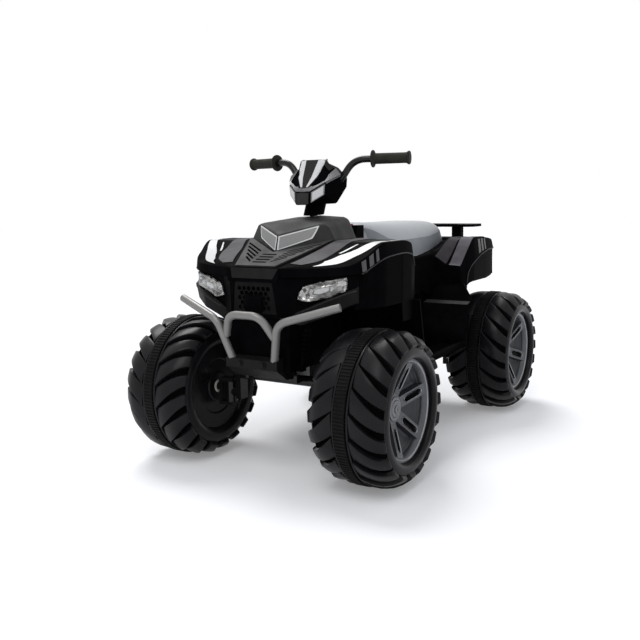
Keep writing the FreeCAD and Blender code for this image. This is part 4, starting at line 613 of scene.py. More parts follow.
@dataclass
class Wheels:
    """Four blow-moulded wheels: lugged tyre, slotted cover and hub cap, each about its own axle with +X outside."""

    axle_height: float = 155.0
    track_half: float = 229.5
    axle_y: float = 342.0
    lug_count: int = 20
    lug_sweep: float = 46.0 / 155.0
    # Where the lugs start and reach the shoulder, the groove's share of the pitch there and its growth, and the
    # height below which a face belongs to a groove's floor, which gets painted shade
    tread: Pair = (17.6, 73.0)
    groove: Pair = (0.07, 0.38)
    groove_shade_height: float = 0.8
    # Share of the pitch round the wheel, with the lug's height there at the tread's middle and at its shoulder
    lug_steps: Triples = (
        (0, 0, 0), (.045, 0, 0), (.075, .03, .03), (.10, .90, .92), (.125, 1, 1), (.17, 1, 1), (.26, .95, .99),
        (.38, .86, .97), (.5, .76, .95), (.62, .66, .93), (.74, .55, .91), (.83, .46, .89), (.88, .40, .87),
        (.90, .34, .80), (.925, .03, .04), (.955, 0, 0))
    spoke_count: int = 6
    # A spoke's ridge from hub to rim as radius and height, half its width and its widest half angle
    spoke_line: tuple[Pair, Pair] = ((28.0, 38.5), (92.0, 62.0))
    spoke_half: float = 13.0
    spoke_angle: float = 27.0
    # The slot in it: its ends along the spoke, half its width, its depth and the width of its wall
    slot_ends: Pair = (44.5, 75.5)
    slot_half: float = 6.5
    slot_depth: float = 9.0
    slot_wall: float = 1.2
    # The lip round the slot: height, half width of its ridge, and the distances from the slot that get its painted
    # highlight
    lip_height: float = 1.4
    lip_half: float = 0.9
    lip_highlight_band: Pair = (-0.2, 1.9)
    # Radius and height of the panels between the spokes, and of the rim
    panel_line: Pairs = ((21, 38), (28, 38), (30, 29), (44, 30), (84, 45), (87, 47.5), (89.5, 57), (92, 62))
    rim_line: Pairs = ((92, 62), (93.5, 64.5), (95, 66.6), (96.2, 67.2), (100.4, 67.2), (101.1, 66.2))
    # Depth of the inset in a panel, and the radii over which it starts and ends
    panel_inset: float = 2.5
    inset_ends: tuple[Pair, Pair] = ((36, 42), (80, 84))
    # Radius and the height below which a point belongs to a panel, which gets painted shade
    panel_shade_limit: Pairs = ((29, 0), (30, 35), (84, 53.5), (88, 54.5), (90, 0))
    # Radii of the bead inside the rim, which gets a painted highlight
    rim_bead_highlight: Pair = (93.4, 96.8)
    cap_profile: Pairs = (
        (34, 20.4), (38.6, 20.4), (38.6, 24.4), (39.6, 24.6), (40.8, 23.6), (41.2, 21.6), (40.2, 19.8), (40.2, 17.6),
        (42.2, 16.6), (43.0, 14.6), (43.0, 12.6), (41.8, 11.2), (41.8, 8.4), (44.0, 7.8), (44.6, 6.2), (44.6, 4.0),
        (42.9, 3.4), (42.9, 0.01))
    cover_wall: float = 1.8
    cap_wall: float = 1.0
    cover_turn: dict[str, float] = field(default_factory=lambda: {
        "front_left": -14.0, "front_right": 20.0, "rear_left": 10.0, "rear_right": -5.0})
    # From the middle of the tread to the hub: along the axle, radius, lug height
    half_profile: Triples = (
        (13.0, 145.0, 0), (13.0, 151.4, 0), (13.6, 152.0, 0), (16.4, 152.0, 0), (17.0, 151.4, 0), (17.0, 145.0, 0),
        (17.6, 145.0, 0), (18.3, 145.0, 8.2), (19.4, 145.0, 8.7), (26.0, 145.0, 8.9), (34.0, 145.0, 9.0),
        (42.0, 143.8, 9.0), (50.0, 142.0, 9.0), (56.0, 139.4, 8.8), (62.0, 136.5, 8.4), (67.0, 133.0, 8.0),
        (71.0, 129.0, 8.6), (73.2, 126.6, 8.6), (74.6, 124.6, 8.0), (75.4, 123.5, 6.0), (76.0, 122.6, 0),
        (77.6, 119.8, 0), (79.2, 116.5, 0), (80.3, 112.0, 0), (80.0, 107.8, 0))
    outer_side: Pairs = ((78.6, 104.8), (76.0, 102.6), (72.5, 101.7), (69.0, 101.5), (22.0, 101.5), (22.0, 10.2))
    inner_side: Pairs = (
        (78.4, 102.0), (74.0, 96.5), (70.0, 94.0), (66.0, 92.5), (66.0, 62.0), (63.5, 59.0), (63.5, 33.0), (66.0, 30.0),
        (66.0, 10.2))

    def tyre(self) -> tuple[Patch, Patch]:
        """Tread and carcass as one turned surface with lugs, parted from the floors of the grooves between them.

        A closed profile turns about the axle. In the tread each lug is a saw tooth round the wheel, high at its
        leading edge and falling to a third at its trailing edge, and a block at the shoulder. The teeth
        slant: their angle grows evenly from the middle of the tread to the shoulder, and so does the groove
        between them.

        Returns:
            The lugs with the carcass, and the grooves' floors. Together they close.
        """
        half = np.array(self.half_profile)
        outer = np.vstack([half, np.pad(np.array(self.outer_side), ((0, 0), (0, 1)))])
        inner = np.vstack([half, np.pad(np.array(self.inner_side), ((0, 0), (0, 1)))])
        profile = np.vstack([inner[::-1] * FLIP_X, outer])
        along, radius, tall = profile.T
        slope = np.stack([np.gradient(along), np.gradient(radius)], axis=1)
        normal = unit(np.stack([-slope[:, 1], slope[:, 0]], axis=1))
        start, shoulder = self.tread
        out = np.clip((np.abs(along) - start) / (shoulder - start), 0, 1)
        groove = self.groove[0] + self.groove[1] * out
        spot, blade, block = np.array(self.lug_steps).T
        rise = blade + (block - blade) * out[:, None] ** 2
        # The first and the last tenth of the steps lie in the groove, however wide it is
        first, last = groove[:, None] / 2, 1 - groove[:, None] / 2
        share = np.where(spot < 0.1, spot / 0.1 * first,
                         np.where(spot <= 0.9, first + (spot - 0.1) / 0.8 * (last - first),
                                  last + (spot - 0.9) / 0.1 * (1 - last)))
        pitch = 2 * math.pi / self.lug_count
        lug = np.arange(self.lug_count)[None, :, None]
        turn = (self.lug_sweep * out)[:, None, None] + pitch * (lug - 0.5 + share[:, None, :])
        push = np.broadcast_to((tall[:, None] * rise)[:, None, :], turn.shape)
        reach = radius[:, None, None] + normal[:, 1, None, None] * push
        x = along[:, None, None] + normal[:, 0, None, None] * push
        points = np.stack([np.broadcast_to(x, turn.shape), -reach * np.sin(turn), reach * np.cos(turn)], axis=-1)
        whole = grid(points.reshape(len(profile), -1, 3), wrap_u=True, wrap_v=True).away_from((0.0, 0.0, 0.0))
        # Faces of the groove floors, which get painted shade
        low = np.all(push.ravel()[whole.faces] < self.groove_shade_height, axis=1)
        tread = np.any(np.broadcast_to(tall[:, None, None], push.shape).ravel()[whole.faces] > 0, axis=1)
        return Patch(whole.points, whole.faces[~(low & tread)]), Patch(whole.points, whole.faces[low & tread])

    def cover(self, turn: float) -> Patch:
        """Wheel cover as a height along the axle over the disc.

        Raised spokes climb evenly from the hub to the rim over lower panels. Each spoke carries a stadium slot:
        where the distance to a line along the spoke is under half its width the surface drops, and round it stands
        a narrow lip. Columns of the grid keep a fixed distance from the spoke's middle, so its edges stay straight.

        Args:
            turn: How far the cover is turned about the axle, in degrees.

        Returns:
            The open sheet.
        """
        near = np.array([0, 2.2, 4.2, 5.3, 5.9, 6.4, 6.9, 7.5, 8.2, 9.0, 10.8, 12.2, 12.8, 13.4, 14.2])
        across = np.concatenate([-near[:0:-1], near])
        radius = np.concatenate([
            [21.0, 24.0, 27.2, 28.2, 29.2, 31.0, 34.0, 36.2], np.linspace(37.2, 46.0, 15), np.linspace(49.0, 71.0, 8),
            np.linspace(74.0, 83.0, 15),
            [84.5, 86.5, 88.2, 89.5, 91.0, 92.5, 94.0, 95.2, 96.2, 97.5, 99.4, 100.5, 101.1]])[:, None]
        fit = np.minimum(1.0, radius * math.sin(math.radians(self.spoke_angle)) / near[-1])
        spoke = np.arcsin(across[None] * fit / radius)
        edge = spoke[:, -1:]
        sector = math.pi / self.spoke_count
        panel = edge + (sector - edge) * np.array([[0.14, 0.28, 0.5, 0.75, 1.0]])
        angle = np.concatenate([-panel[:, -2::-1], spoke, panel], axis=1)
        side = np.abs(radius * np.sin(angle))
        run = radius * np.cos(angle)
        slot = self.slot_gap(side, run)
        (hub, low), (rim_start, high) = self.spoke_line
        bar = low + (run - hub) * (high - low) / (rim_start - hub)
        bar = bar + self.lip_height * np.clip(1 - np.abs(slot - self.lip_half) / self.lip_half, 0, 1)
        bar = bar - self.slot_depth * (1 - step(-self.slot_wall, 0.0, slot))
        floor = reading(self.panel_line, radius)
        start, end = self.inset_ends
        inset = step(self.spoke_half + 2, self.spoke_half + 5, side) * step(*start, radius) * (1 - step(*end, radius))
        on_spoke = 1 - step(self.spoke_half - 0.7, self.spoke_half + 0.7, side)
        height = (floor - self.panel_inset * inset) + on_spoke * (bar - floor)
        rim = reading(self.rim_line, radius)
        height = np.where(radius >= rim_start, rim, np.where(radius <= hub + 0.2, low, height))
        around = angle[:, None] + (2 * sector * np.arange(self.spoke_count))[None, :, None] + math.radians(turn)
        far = radius[:, None]
        points = np.stack(np.broadcast_arrays(height[:, None], -far * np.sin(around), far * np.cos(around)), axis=-1)
        return grid(points.reshape(len(radius), -1, 3), wrap_v=True)

    def slot_gap(self, side: Array, run: Array) -> Array:
        """Distance to a spoke's stadium slot: to a line along the spoke, less half the slot's width.

        Args:
            side: Distance from the spoke's middle.
            run: Distance along the spoke from the axle.

        Returns:
            The distance, below zero inside the slot.
        """
        start, end = self.slot_ends
        return np.hypot(side, np.maximum(np.maximum(start - run, run - end), 0)) - self.slot_half

    def zones(self, spots: Array, turn: float) -> Array:
        """Which part of a cover points belong to.

        A slot is where the distance to its stadium outline is below zero. A lip is the narrow band round it, and
        the bead inside the rim. A panel lies below a line between the heights of the floor and of the spokes.
        Panels and slots get painted shade, lips a painted highlight.

        Args:
            spots: Points about the wheel's own axle.
            turn: How far the cover is turned about the axle, in degrees.

        Returns:
            For each 0 for spokes and rim, 1 for panels, 2 for slots and 3 for lips.
        """
        radius = np.hypot(spots[:, 1], spots[:, 2])
        sector = math.pi / self.spoke_count
        angle = (np.arctan2(-spots[:, 1], spots[:, 2]) - math.radians(turn) + sector) % (2 * sector) - sector
        run = radius * np.cos(angle)
        gap = self.slot_gap(radius * np.sin(angle), run)
        limit = reading(self.panel_shade_limit, radius)
        (low, high), (start, end) = self.lip_highlight_band, self.rim_bead_highlight
        lip = ((gap > low) & (gap < high)) | ((radius > start) & (radius < end))
        return np.where(lip, 3, np.where(gap <= low, 2, np.where(spots[:, 0] < limit, 1, 0)))

    def cap(self) -> Patch:
        """Hub cap turned from a stepped profile: rings round a low dome with a bolt in its middle."""
        profile = rounded(np.array(self.cap_profile), 0.5, 2)
        angle = np.linspace(0, 2 * math.pi, 72, endpoint=False)
        x, r = profile[:, :1], profile[:, 1:]
        return grid(np.stack(np.broadcast_arrays(x, -r * np.sin(angle), r * np.cos(angle)), axis=-1), wrap_v=True)

    def placed(self, patch: Patch, corner: str) -> Patch:
        """Move a surface from its own axle to a corner of the bike; right-hand ones are turned about.

        Args:
            patch: The surface about its own axle.
            corner: Which wheel.

        Returns:
            The surface in the bike's frame.
        """
        end, side = corner.split("_")
        way = 1.0 if side == "left" else -1.0
        centre = np.array([way * self.track_half, self.axle_y if end == "rear" else -self.axle_y, self.axle_height])
        return Patch(patch.points * np.array([way, way, 1.0]) + centre, patch.faces)

    def build(self) -> None:
        """Make the tyre, cover and cap of each wheel."""
        (lugs, grooves), cap = self.tyre(), self.cap()
        for corner, turn in self.cover_turn.items():
            rider = "wheel_" + corner
            piece(f"lugged_tyre_{corner}", self.placed(lugs, corner), TYRE, rider, [f"tyre_{corner}"], closed=False,
                  sharp=28.0)
            # The groove floors, in painted shade
            piece(f"groove_floor_shade_{corner}", self.placed(grooves, corner), GROOVE_SHADE, rider, closed=False, sharp=28.0)
            outward = (200.0, 1.0, 1.0) if corner.endswith("left") else (-200.0, 1.0, 1.0)
            cover = self.cover(turn)
            centre = self.placed(cover, corner).points.mean(axis=0) - np.array(outward)
            # The cover's own grey on spokes and rim, painted shade on the panels and in the slots, a painted highlight
            # on the lips
            dress = (("slotted_cover", RIM), ("cover_panel_shade", COVER_PANEL_SHADE), ("cover_slot_shade", SLOT_SHADE),
                     ("cover_lip_highlights", COVER_LIP_HIGHLIGHT))
            for zone, (name, finish) in enumerate(dress):
                part = cover.without(lambda spots, keep=zone: self.zones(spots, turn) != keep)
                piece(f"{name}_{corner}", self.placed(part, corner).away_from(centre), finish, rider,
                      [f"wheel_cover_{corner}"] if zone == 0 else [], closed=False, wall=self.cover_wall, sharp=40.0)
            piece(f"ringed_cap_{corner}", self.placed(cap, corner).away_from(centre), CAP, rider, [f"hub_cap_{corner}"],
                  closed=False, wall=self.cap_wall, sharp=40.0)


@dataclass
class Steering:
    """What turns with the handlebar: tube, grips, and the pod with its plates and lamps."""

    bar_radius: float = 7.5
    bar_y: float = -163.7
    bar_corners: Triples = ((46, 0, 590), (82, 8, 644), (199, 33, 644))
    bend: float = 26.0
    grip_start: float = 122.0
    grip_profile: Pairs = (
        (0, 8), (0, 17.8), (1.2, 18.6), (3.4, 18.6), (4.6, 17.2), (5.4, 12.8), (8.0, 11.6), (70, 11.3), (76, 11.6),
        (78.4, 13.6), (80, 14.4), (82.4, 14.2), (83.6, 12.8), (83.8, 0.01))
    flute_count: int = 28
    flute_depth: float = 0.28
    flute_ends: tuple[Pair, Pair] = ((8, 12), (66, 72))
    # Shield rows: place up, half width, y, z, set-back of the edges
    shield_rows: tuple[tuple[float, float, float, float, float], ...] = (
        (0.0, 9, -231, 581, 0), (0.4, 25, -215, 606, 2), (0.71, 43, -203, 625, 24), (1.0, 32, -191, 644, 3))
    # Share of a row's half width beyond which the shield bends back
    shield_bend: float = 0.58
    pod_middle: Triple = (0.0, -180.0, 592.0)
    # Corners of the pod's left half; its face towards the rider is the plane that carries the horn button
    shell_corners: dict[str, Triple] = field(default_factory=lambda: {
        "nose_top": (17, -236, 576), "nose_low": (16, -239, 548), "lamp_top": (46, -216, 596),
        "lamp_low": (42, -214, 567), "peak": (26, -189, 642), "cheek": (61, -147, 606),
        "cheek_low": (58, -144, 586), "chin": (34, -148, 550), "back_top": (30, -132.2, 629)})
    # Stripes on the shield: place up, inner and outer edge
    stripe_rows: Triples = ((0.04, 4.5, 8.0), (0.4, 10.9, 22.5), (1.0, 15.5, 30.0))
    # Plates on the pod's facets: corners of the lower edge, then of the upper one
    lamp_edges: tuple[Triples, ...] = (
        ((17.0, -236, 549.5), (44.0, -216, 569)), ((17.7, -235, 575), (46.3, -215.5, 595)))
    brow_edges: tuple[Triples, ...] = (
        ((0.0, -238, 575.5), (17.7, -235.5, 576), (46.3, -216, 596), (63.0, -181, 611)),
        ((0.0, -234, 582.5), (12.0, -231, 583), (40.0, -202, 606), (48.0, -176, 625)))
    nose_edges: tuple[Triples, ...] = (
        ((-16.5, -238, 548.0), (16.5, -238, 548.0)), ((-17.3, -237, 575.0), (17.3, -237, 575.0)))

    def _half_bar(self) -> Array:
        """Corners of the left half of the handlebar."""
        return np.array(self.bar_corners) + np.array([0, self.bar_y, 0])

    def handlebar(self) -> Patch:
        """A tube along the bar's corners with rounded bends."""
        left = self._half_bar()
        corners = np.vstack([left[::-1] * FLIP_X, left])
        return tube(rounded(corners, self.bend, 10), self.bar_radius)

    def grip(self) -> Patch:
        """Left grip: a profile turned about the bar's end, with shallow flutes along the sleeve.

        The radius is the profile's, less a small cosine of the angle times the number of flutes.

        Returns:
            The closed sleeve.
        """
        left = self._half_bar()
        run = unit(left[2] - left[1])
        start = left[1] + run * ((self.grip_start - left[1, 0]) / run[0])
        fine = rounded(np.array(self.grip_profile), 1.0, 3)
        along = fine[:, 0]
        angle = np.linspace(0, 2 * math.pi, 140, endpoint=False)
        begin, end = self.flute_ends
        flute = self.flute_depth * step(*begin, along) * (1 - step(*end, along))
        radius = fine[:, 1:] - flute[:, None] * (1 + np.cos(self.flute_count * angle))[None]
        side = unit(np.cross(run, np.array([0, 0, 1.0])))
        rise = np.cross(side, run)
        ring = np.cos(angle)[:, None] * side + np.sin(angle)[:, None] * rise
        return grid(start + along[:, None, None] * run + radius[..., None] * ring[None], wrap_v=True)

    def shield(self, x: Array, up: Array) -> Array:
        """Points of the pod's angular front shield.

        Rows climb from the nose to the peak. The middle of a row lies in the shield's plane, and beyond a share of
        the row's half width it bends straight back by the row's own set-back.

        Args:
            x: Places across, by row and column.
            up: Places from 0 at the nose to 1 at the peak, for each row.

        Returns:
            Points by row and column.
        """
        knots, wide, y, z, back = np.array(self.shield_rows).T
        half, mid, high, deep = (np.interp(up, knots, track)[:, None] for track in (wide, y, z, back))
        bend = np.clip((np.abs(x) / half - self.shield_bend) / (1 - self.shield_bend), 0, 1)
        return np.stack(np.broadcast_arrays(x, mid + deep * bend, high), axis=-1)

    def build(self) -> None:
        """Make the pod, the bar, the grips and the pod's plates."""
        self.shell()
        piece("handlebar_tube", self.handlebar(), BAR, "steering", ["handlebar"])
        piece("fluted_grips", both_sides(self.grip()), GRIP, "steering", ["handlebar_grips"])
        up = np.linspace(0, 1, 29)
        half = reading([row[:2] for row in self.shield_rows], up)
        sheet = self.shield(half[:, None] * np.linspace(-1, 1, 25)[None], up)
        piece("pod_shield", raised_plate(sheet, self.pod_middle, height=1.6, sink=9.0), BAR, "steering")
        up = np.linspace(0.06, 0.985, 25)
        knots, *edges = np.array(self.stripe_rows).T
        inner, outer = (np.interp(up, knots, edge)[:, None] for edge in edges)
        stripe = self.shield(inner + (outer - inner) * np.linspace(0, 1, 9)[None], up)
        piece("shield_stripes", both_sides(raised_plate(stripe, self.pod_middle, height=2.2, sink=0.3)), WHITE_FILM,
              "steering")
        self._facets()

    def shell(self) -> None:
        """The pod's own form: a closed set of facets between named corners, with slightly rounded edges."""
        spots = {name + end: np.array(spot, float) * np.array([way, 1, 1])
                 for name, spot in self.shell_corners.items() for end, way in (("_l", 1.0), ("_r", -1.0))}
        half = (("nose_top", "lamp_top", "peak"), ("nose_top", "nose_low", "lamp_low", "lamp_top"),
                ("lamp_top", "cheek", "peak"), ("lamp_top", "lamp_low", "cheek_low", "cheek"),
                ("nose_low", "chin", "lamp_low"), ("lamp_low", "chin", "cheek_low"), ("peak", "cheek", "back_top"),
                ("cheek", "cheek_low", "chin", "back_top"))
        facets = [[name + end for name in face] for face in half for end in ("_l", "_r")]
        facets += [[name + end for name, end in zip((low, low, high, high), ("_l", "_r", "_r", "_l"))]
                   for low, high in (("nose_top", "peak"), ("nose_low", "nose_top"), ("peak", "back_top"),
                                     ("chin", "nose_low"), ("back_top", "chin"))]
        faceted_piece("pod_shell", spots, facets, {}, 2.0, BODY, "steering", ["instrument_pod"])

    def _facets(self) -> None:
        """Lamp panels, brow and nose plate as thin plates on the pod's facets, each between two edges."""
        def strip(edges: Sequence[Sequence[Sequence[float]]], inset: float, height: float, sink: float) -> Patch:
            """A plate between two polylines of as many corners.

            Args:
                edges: Corners of the lower edge and of the upper edge.
                inset: Share by which the edges draw together and in from their ends.
                height: How far the plate stands off.
                sink: How far its rim goes in.

            Returns:
                The plate.
            """
            ends = np.array(edges, float)
            runs = ends.shape[1] - 1
            reach = np.linspace(0, runs, 6 * runs + 1)
            along = inset * runs + reach * (1 - 2 * inset)
            part = np.clip(along.astype(int), 0, runs - 1)
            share = (along - part)[None, :, None]
            lines = ruled(ends[:, part], ends[:, part + 1], share)
            across = np.linspace(inset, 1 - inset, 7)[:, None]
            sheet = ruled(lines[0][:, None], lines[1][:, None], across)
            return raised_plate(sheet, self.pod_middle, height, sink)
        panels = strip(self.lamp_edges, inset=0.07, height=1.6, sink=3.0)
        piece("pod_lamp_panels", both_sides(panels), SILVER, "steering", ["pod_lamps"])
        lights = strip(self.lamp_edges, inset=0.15, height=2.1, sink=0.3)
        piece("pod_lamp_lights", both_sides(lights), WHITE_FILM, "steering")
        brow = strip(self.brow_edges, inset=0.0, height=1.8, sink=5.0)
        piece("pod_brow", both_sides(brow), POD_SILVER, "steering")
        piece("pod_nose", strip(self.nose_edges, inset=0.05, height=1.2, sink=2.0), MATT, "steering")


@dataclass
class FrontBody:
    """Bonnet with fenders, its films and painted highlights, the scoop, the headlamps and the nose."""

    # Sections across the left half: y, then (x, z) from the middle to the lower edge of the arch or leg
    stations: tuple[tuple[float, Pairs], ...] = (
        (-421, ((0, 428), (40, 428), (58, 428), (59, 427.6), (60, 427), (62, 425), (62.5, 409), (61, 408.5))),
        (-372, ((0, 444.8), (50, 444.8), (77, 444.8), (104, 442.6), (130, 441.5), (184, 431.5), (186, 414),
                (176, 413.5))),
        (-345, ((0, 454), (58, 454), (86, 454), (113, 452.6), (140, 452), (204, 444), (207, 418), (201, 419))),
        (-333, ((0, 458), (60, 458), (90, 458), (116, 456.6), (142, 456), (208, 450), (210, 424), (204, 425))),
        (-281, ((0, 476), (72, 476), (109, 476), (130, 474.5), (150, 474), (221, 474), (224, 444), (219.5, 445))),
        (-214, ((0, 476), (74, 476), (112, 476), (131, 475.2), (150, 475), (224, 474), (226, 448), (223.5, 447.5))),
        (-209, ((0, 476), (74, 476), (112, 476), (131, 475.2), (150, 475), (224, 474), (226, 448), (224.2, 446.5))),
        (-168, ((0, 476), (74, 476), (112, 475), (131, 472.8), (150, 471), (223, 468), (225, 443), (224, 441))),
        (-142, ((0, 476), (74, 473), (112, 468), (131, 461), (150, 454), (218, 430), (220, 412), (219.5, 410))))
    fillets: tuple[float, ...] = (6, 4, 14, 10, 3, 2)
    # Lower edge of the arch and leg: y, x, z
    foot_line: Triples = (
        (-421, 60, 408), (-372, 174, 413), (-345, 199, 416), (-333, 202, 345), (-281, 218, 345), (-214, 222.5, 345),
        (-209, 223, 305), (-168, 223, 305), (-158, 221.5, 305), (-157, 221.4, 345), (-142, 219, 345))
    cowl_wall: float = 3.0
    nose_foot: float = 408.0
    # The raked steering column: rake in degrees, foot, and the room left round it above a height
    column_rake: float = 24.0
    column_foot: Triple = (0, -338.5, 197.3)
    column_room: float = 26.0
    column_above: float = 440.0
    # Films on a fender's top: place along the bike, then the share across of the inner and of the outer edge
    white_films: tuple[Triples, ...] = (
        ((-394, .44, .48), (-374, .10, .56), (-345, .20, .64), (-315, .46, .80), (-291, .60, .88), (-256, .74, .90)),
        ((-338, .06, .13), (-322, .13, .20), (-300, .26, .30)))
    silver_film: Triples = ((-250, .78, .91), (-160, .88, .93))
    # From where to where along the bike the painted highlights on the top, the bars on the side band and the lip with
    # its painted highlight run
    top_highlight_run: Pair = (-398, -170)
    bar_runs: Pairs = ((-350, -340), (-331, -320), (-313, -306))
    lip_run: Pair = (-352, -146)
    lip_radius: float = 1.3
    # Scoop on the bonnet: named corners of its left half
    scoop_corners: dict[str, Triple] = field(default_factory=lambda: {
        "foot_front": (0, -345, 454.4), "foot_side": (104, -281, 476.3), "foot_rear": (92, -152, 475.5),
        "prow": (0, -335, 488.4), "shoulder": (85, -281.5, 511), "crown_front": (0, -281.5, 515),
        "rear": (72, -150, 521), "crown_rear": (0, -149, 525.5)})
    scoop_middle: Triple = (0.0, -250.0, 480.0)
    # Wedges on its front facet, pale rim and silver face: share across, and share up of the lower and the upper edge
    rim_low: Pairs = ((0.02, 0.07), (0.65, 0.33), (0.84, 0.93))
    rim_high: Pairs = ((0.02, 0.90), (0.84, 0.96))
    face_low: Pairs = ((0.045, 0.14), (0.63, 0.40), (0.78, 0.84))
    face_high: Pairs = ((0.045, 0.83), (0.78, 0.89))
    # Lamp outline as x and z, and two places of the slanted face before which the lamps lie as x and y
    lamp_outline: Pairs = ((88, 368), (99, 392), (134, 402.5), (183, 411), (181, 384), (152, 372), (112, 362))
    lamp_face: tuple[Pair, Pair] = ((90, -404), (182, -371))
    lamp_middle: Triple = (140.0, -300.0, 388.0)
    # Rings of a lamp's bowl, bright core and glass: share of the outline, depth behind the face
    bowl_rings: Pairs = (
        (1.0, 3.0), (0.99, -1.6), (0.88, -2.4), (0.80, -0.7), (0.64, -3.0), (0.56, -1.0), (0.36, -3.6), (0.30, -1.6),
        (0.12, -4.0), (0.001, -4.2))
    bowl_push: float = 1.2
    core_rings: Pairs = ((0.31, 0.0), (0.29, -4.2), (0.25, -4.9), (0.14, -5.0), (0.001, -5.1))
    glass_rings: Pairs = ((1.0, 2.5), (0.995, -3.6), (0.95, -5.4), (0.7, -6.4), (0.35, -6.8), (0.001, -6.9))
    glass_wall: float = 0.8
    # Blades under the lamps: where they run, and over x the height of the edge, its y, its lean and the depth below
    blade_run: Pair = (58, 198)
    blade_height: Pairs = ((90, 338.3), (182, 377.3), (196, 382.3), (200, 383))
    blade_y: Pairs = ((58, -414), (90, -403), (182, -371), (196, -358), (200, -356))
    blade_lean: Pairs = ((90, 2), (150, 15), (198, 5))
    blade_depth: Pairs = ((58, 12), (96, 22), (150, 25), (198, 21))
    blade_rim: float = 1.1
    # Walls over and beside the lamps: plan as x and y, and the heights of their rows
    roof_plan: Pairs = ((40, -421), (62, -412), (90, -394), (186, -360), (198, -347))
    roof_heights: tuple[float, ...] = (396, 410, 423)
    corner_plan: Pairs = ((188, -353), (197, -346), (204, -331))
    corner_heights: tuple[float, ...] = (346, 380, 422)
    # Face under the bonnet's front edge: its upper and its lower edge
    bonnet_edges: tuple[Triples, ...] = (
        ((-57.5, -421.6, 427.4), (57.5, -421.6, 427.4)), ((-48.5, -430.5, 407.4), (48.5, -430.5, 407.4)))
    nose_middle: Triple = (0.0, -380.0, 380.0)
    # Block in the grille: its rows as half width, y, z and share of the rise, its columns as share, stand and rise
    block_rows: tuple[Quad, ...] = ((13, -427, 374, 1), (20, -430, 367, 1), (22, -430, 353, 0.4), (19, -426, 339, 0))
    block_columns: Triples = ((-1, 0, 4), (-0.52, 5, 0), (0, 6, -3), (0.52, 5, 0), (1, 0, 4))

    def sections(self, places: Array) -> Array:
        """Section points carried smoothly along the bike.

        Args:
            places: Where sections are wanted.

        Returns:
            Points by place and section point, in three coordinates.
        """
        knots, tracks = split(self.stations)
        return stood(smoothed(tracks, knots, places), places)

    def cowl(self) -> Patch:
        """Bonnet and fender skin with the arch and leg below it, for both sides.

        Sections run smoothly from station to station, and each section's corners are rounded. The panel from
        the lip down to the arch's edge runs straight between stations. A hole is left round the steering column.

        Returns:
            The open shell.
        """
        line = np.array(self.foot_line)
        places = np.union1d(between(split(self.stations)[0], 9), line[:, 0])
        skin = rounded(self.sections(places).swapaxes(0, 1), self.fillets, 4).swapaxes(0, 1)
        lip = self.sections(places)[:, 7]
        x, z = (np.interp(places, line[:, 0], line[:, k]) for k in (1, 2))
        foot = np.stack([x, places, z], axis=-1)
        share = np.linspace(0, 1, 9)[None, :, None]
        leg = ruled(lip[:, None], foot[:, None], share)
        front = self.sections(places[:1])[0]
        nose = np.stack([front * np.array([1, 1, 0]) + np.array([0, 0, self.nose_foot]), front], axis=1)
        half = joined([grid(skin).away_from((60.0, -250.0, 380.0)), grid(leg).away_from((150.0, -250.0, 390.0)),
                       grid(nose).away_from((0.0, -300.0, 420.0))])

        def near_column(spots: Array) -> Array:
            """Whether points lie in the room round the raked column.

            Args:
                spots: The points.

            Returns:
                A truth value for each.
            """
            rake = math.radians(self.column_rake)
            along = np.array([0, math.sin(rake), math.cos(rake)])
            gap = spots - np.array(self.column_foot)
            off = gap - (gap @ along)[:, None] * along
            return (np.linalg.norm(off, axis=1) < self.column_room) & (spots[:, 2] > self.column_above)
        return both_sides(half).without(near_column)

    def on_fender(self, across: Array, along: Array, tracks: tuple[int, int] = (4, 5)) -> Array:
        """Points on the fender's top between two tracks of section points.

        Args:
            across: Share from the inner track to the outer one, by row and column.
            along: Place along the bike for each row.
            tracks: Which section points the two tracks follow.

        Returns:
            Points by row and column.
        """
        ends = self.sections(along)[:, list(tracks)]
        return ruled(ends[:, :1], ends[:, 1:], across[..., None])

    def on_band(self, down: Array, along: Array) -> Array:
        """Points on the fender's side band below the outer edge.

        Args:
            down: Share from the upper edge to the lip.
            along: Place along the bike for each row.

        Returns:
            Points by row and column.
        """
        ends = self.sections(along)[:, 5:7]
        return ruled(ends[:, :1], ends[:, 1:], down[None, :, None])

    def decals_and_highlights(self) -> None:
        """Plain white and silver films on the fender tops and grey bars on their side bands, with painted highlights on
        the tops and along the lips.
        """
        def film(corners: Sequence[Sequence[float]]) -> Patch:
            """A film between two edges that run along the fender with straight parts.

            Args:
                corners: Place along the bike, then the share across of the inner and of the outer edge.

            Returns:
                The film on the left side.
            """
            knots, inner, outer = np.array(corners, float).T
            along = between(knots, 8)
            a, b = (np.interp(along, knots, edge)[:, None] for edge in (inner, outer))
            points = self.on_fender(a + (b - a) * np.linspace(0, 1, 9)[None], along)
            return raised_plate(points, (180.0, -250.0, 300.0), height=0.5, sink=0.4)
        rows, columns = 60, 15
        across = np.broadcast_to(np.linspace(0.10, 0.92, columns)[None], (rows, columns))
        top_highlight = self.on_fender(across, np.linspace(*self.top_highlight_run, rows), (2, 4))
        plate = raised_plate(top_highlight, (110.0, -260.0, 300.0), height=0.9, sink=1.2)
        # Painted highlight on the inner part of each fender top
        piece("fender_top_highlights", both_sides(plate), FENDER_HIGHLIGHT, "chassis")
        white = joined([film(corners) for corners in self.white_films])
        piece("fender_films_white", both_sides(white), WHITE_FILM, "chassis")
        silver = film(self.silver_film)
        piece("fender_films_silver", both_sides(silver), SILVER_FILM, "chassis")
        bars = [raised_plate(self.on_band(np.linspace(0.1, 0.9, 7), np.linspace(start, end, 5)),
                             (100.0, -250.0, 440.0), height=0.5, sink=0.4) for start, end in self.bar_runs]
        piece("fender_bars", both_sides(joined(bars)), GREY_FILM, "chassis")
        lip = self.sections(np.linspace(*self.lip_run, 70))[:, 6]
        # A thin bead along each fender's lip, with a painted highlight
        piece("fender_lip_highlights", both_sides(tube(lip, self.lip_radius, 10)), FENDER_HIGHLIGHT, "chassis")

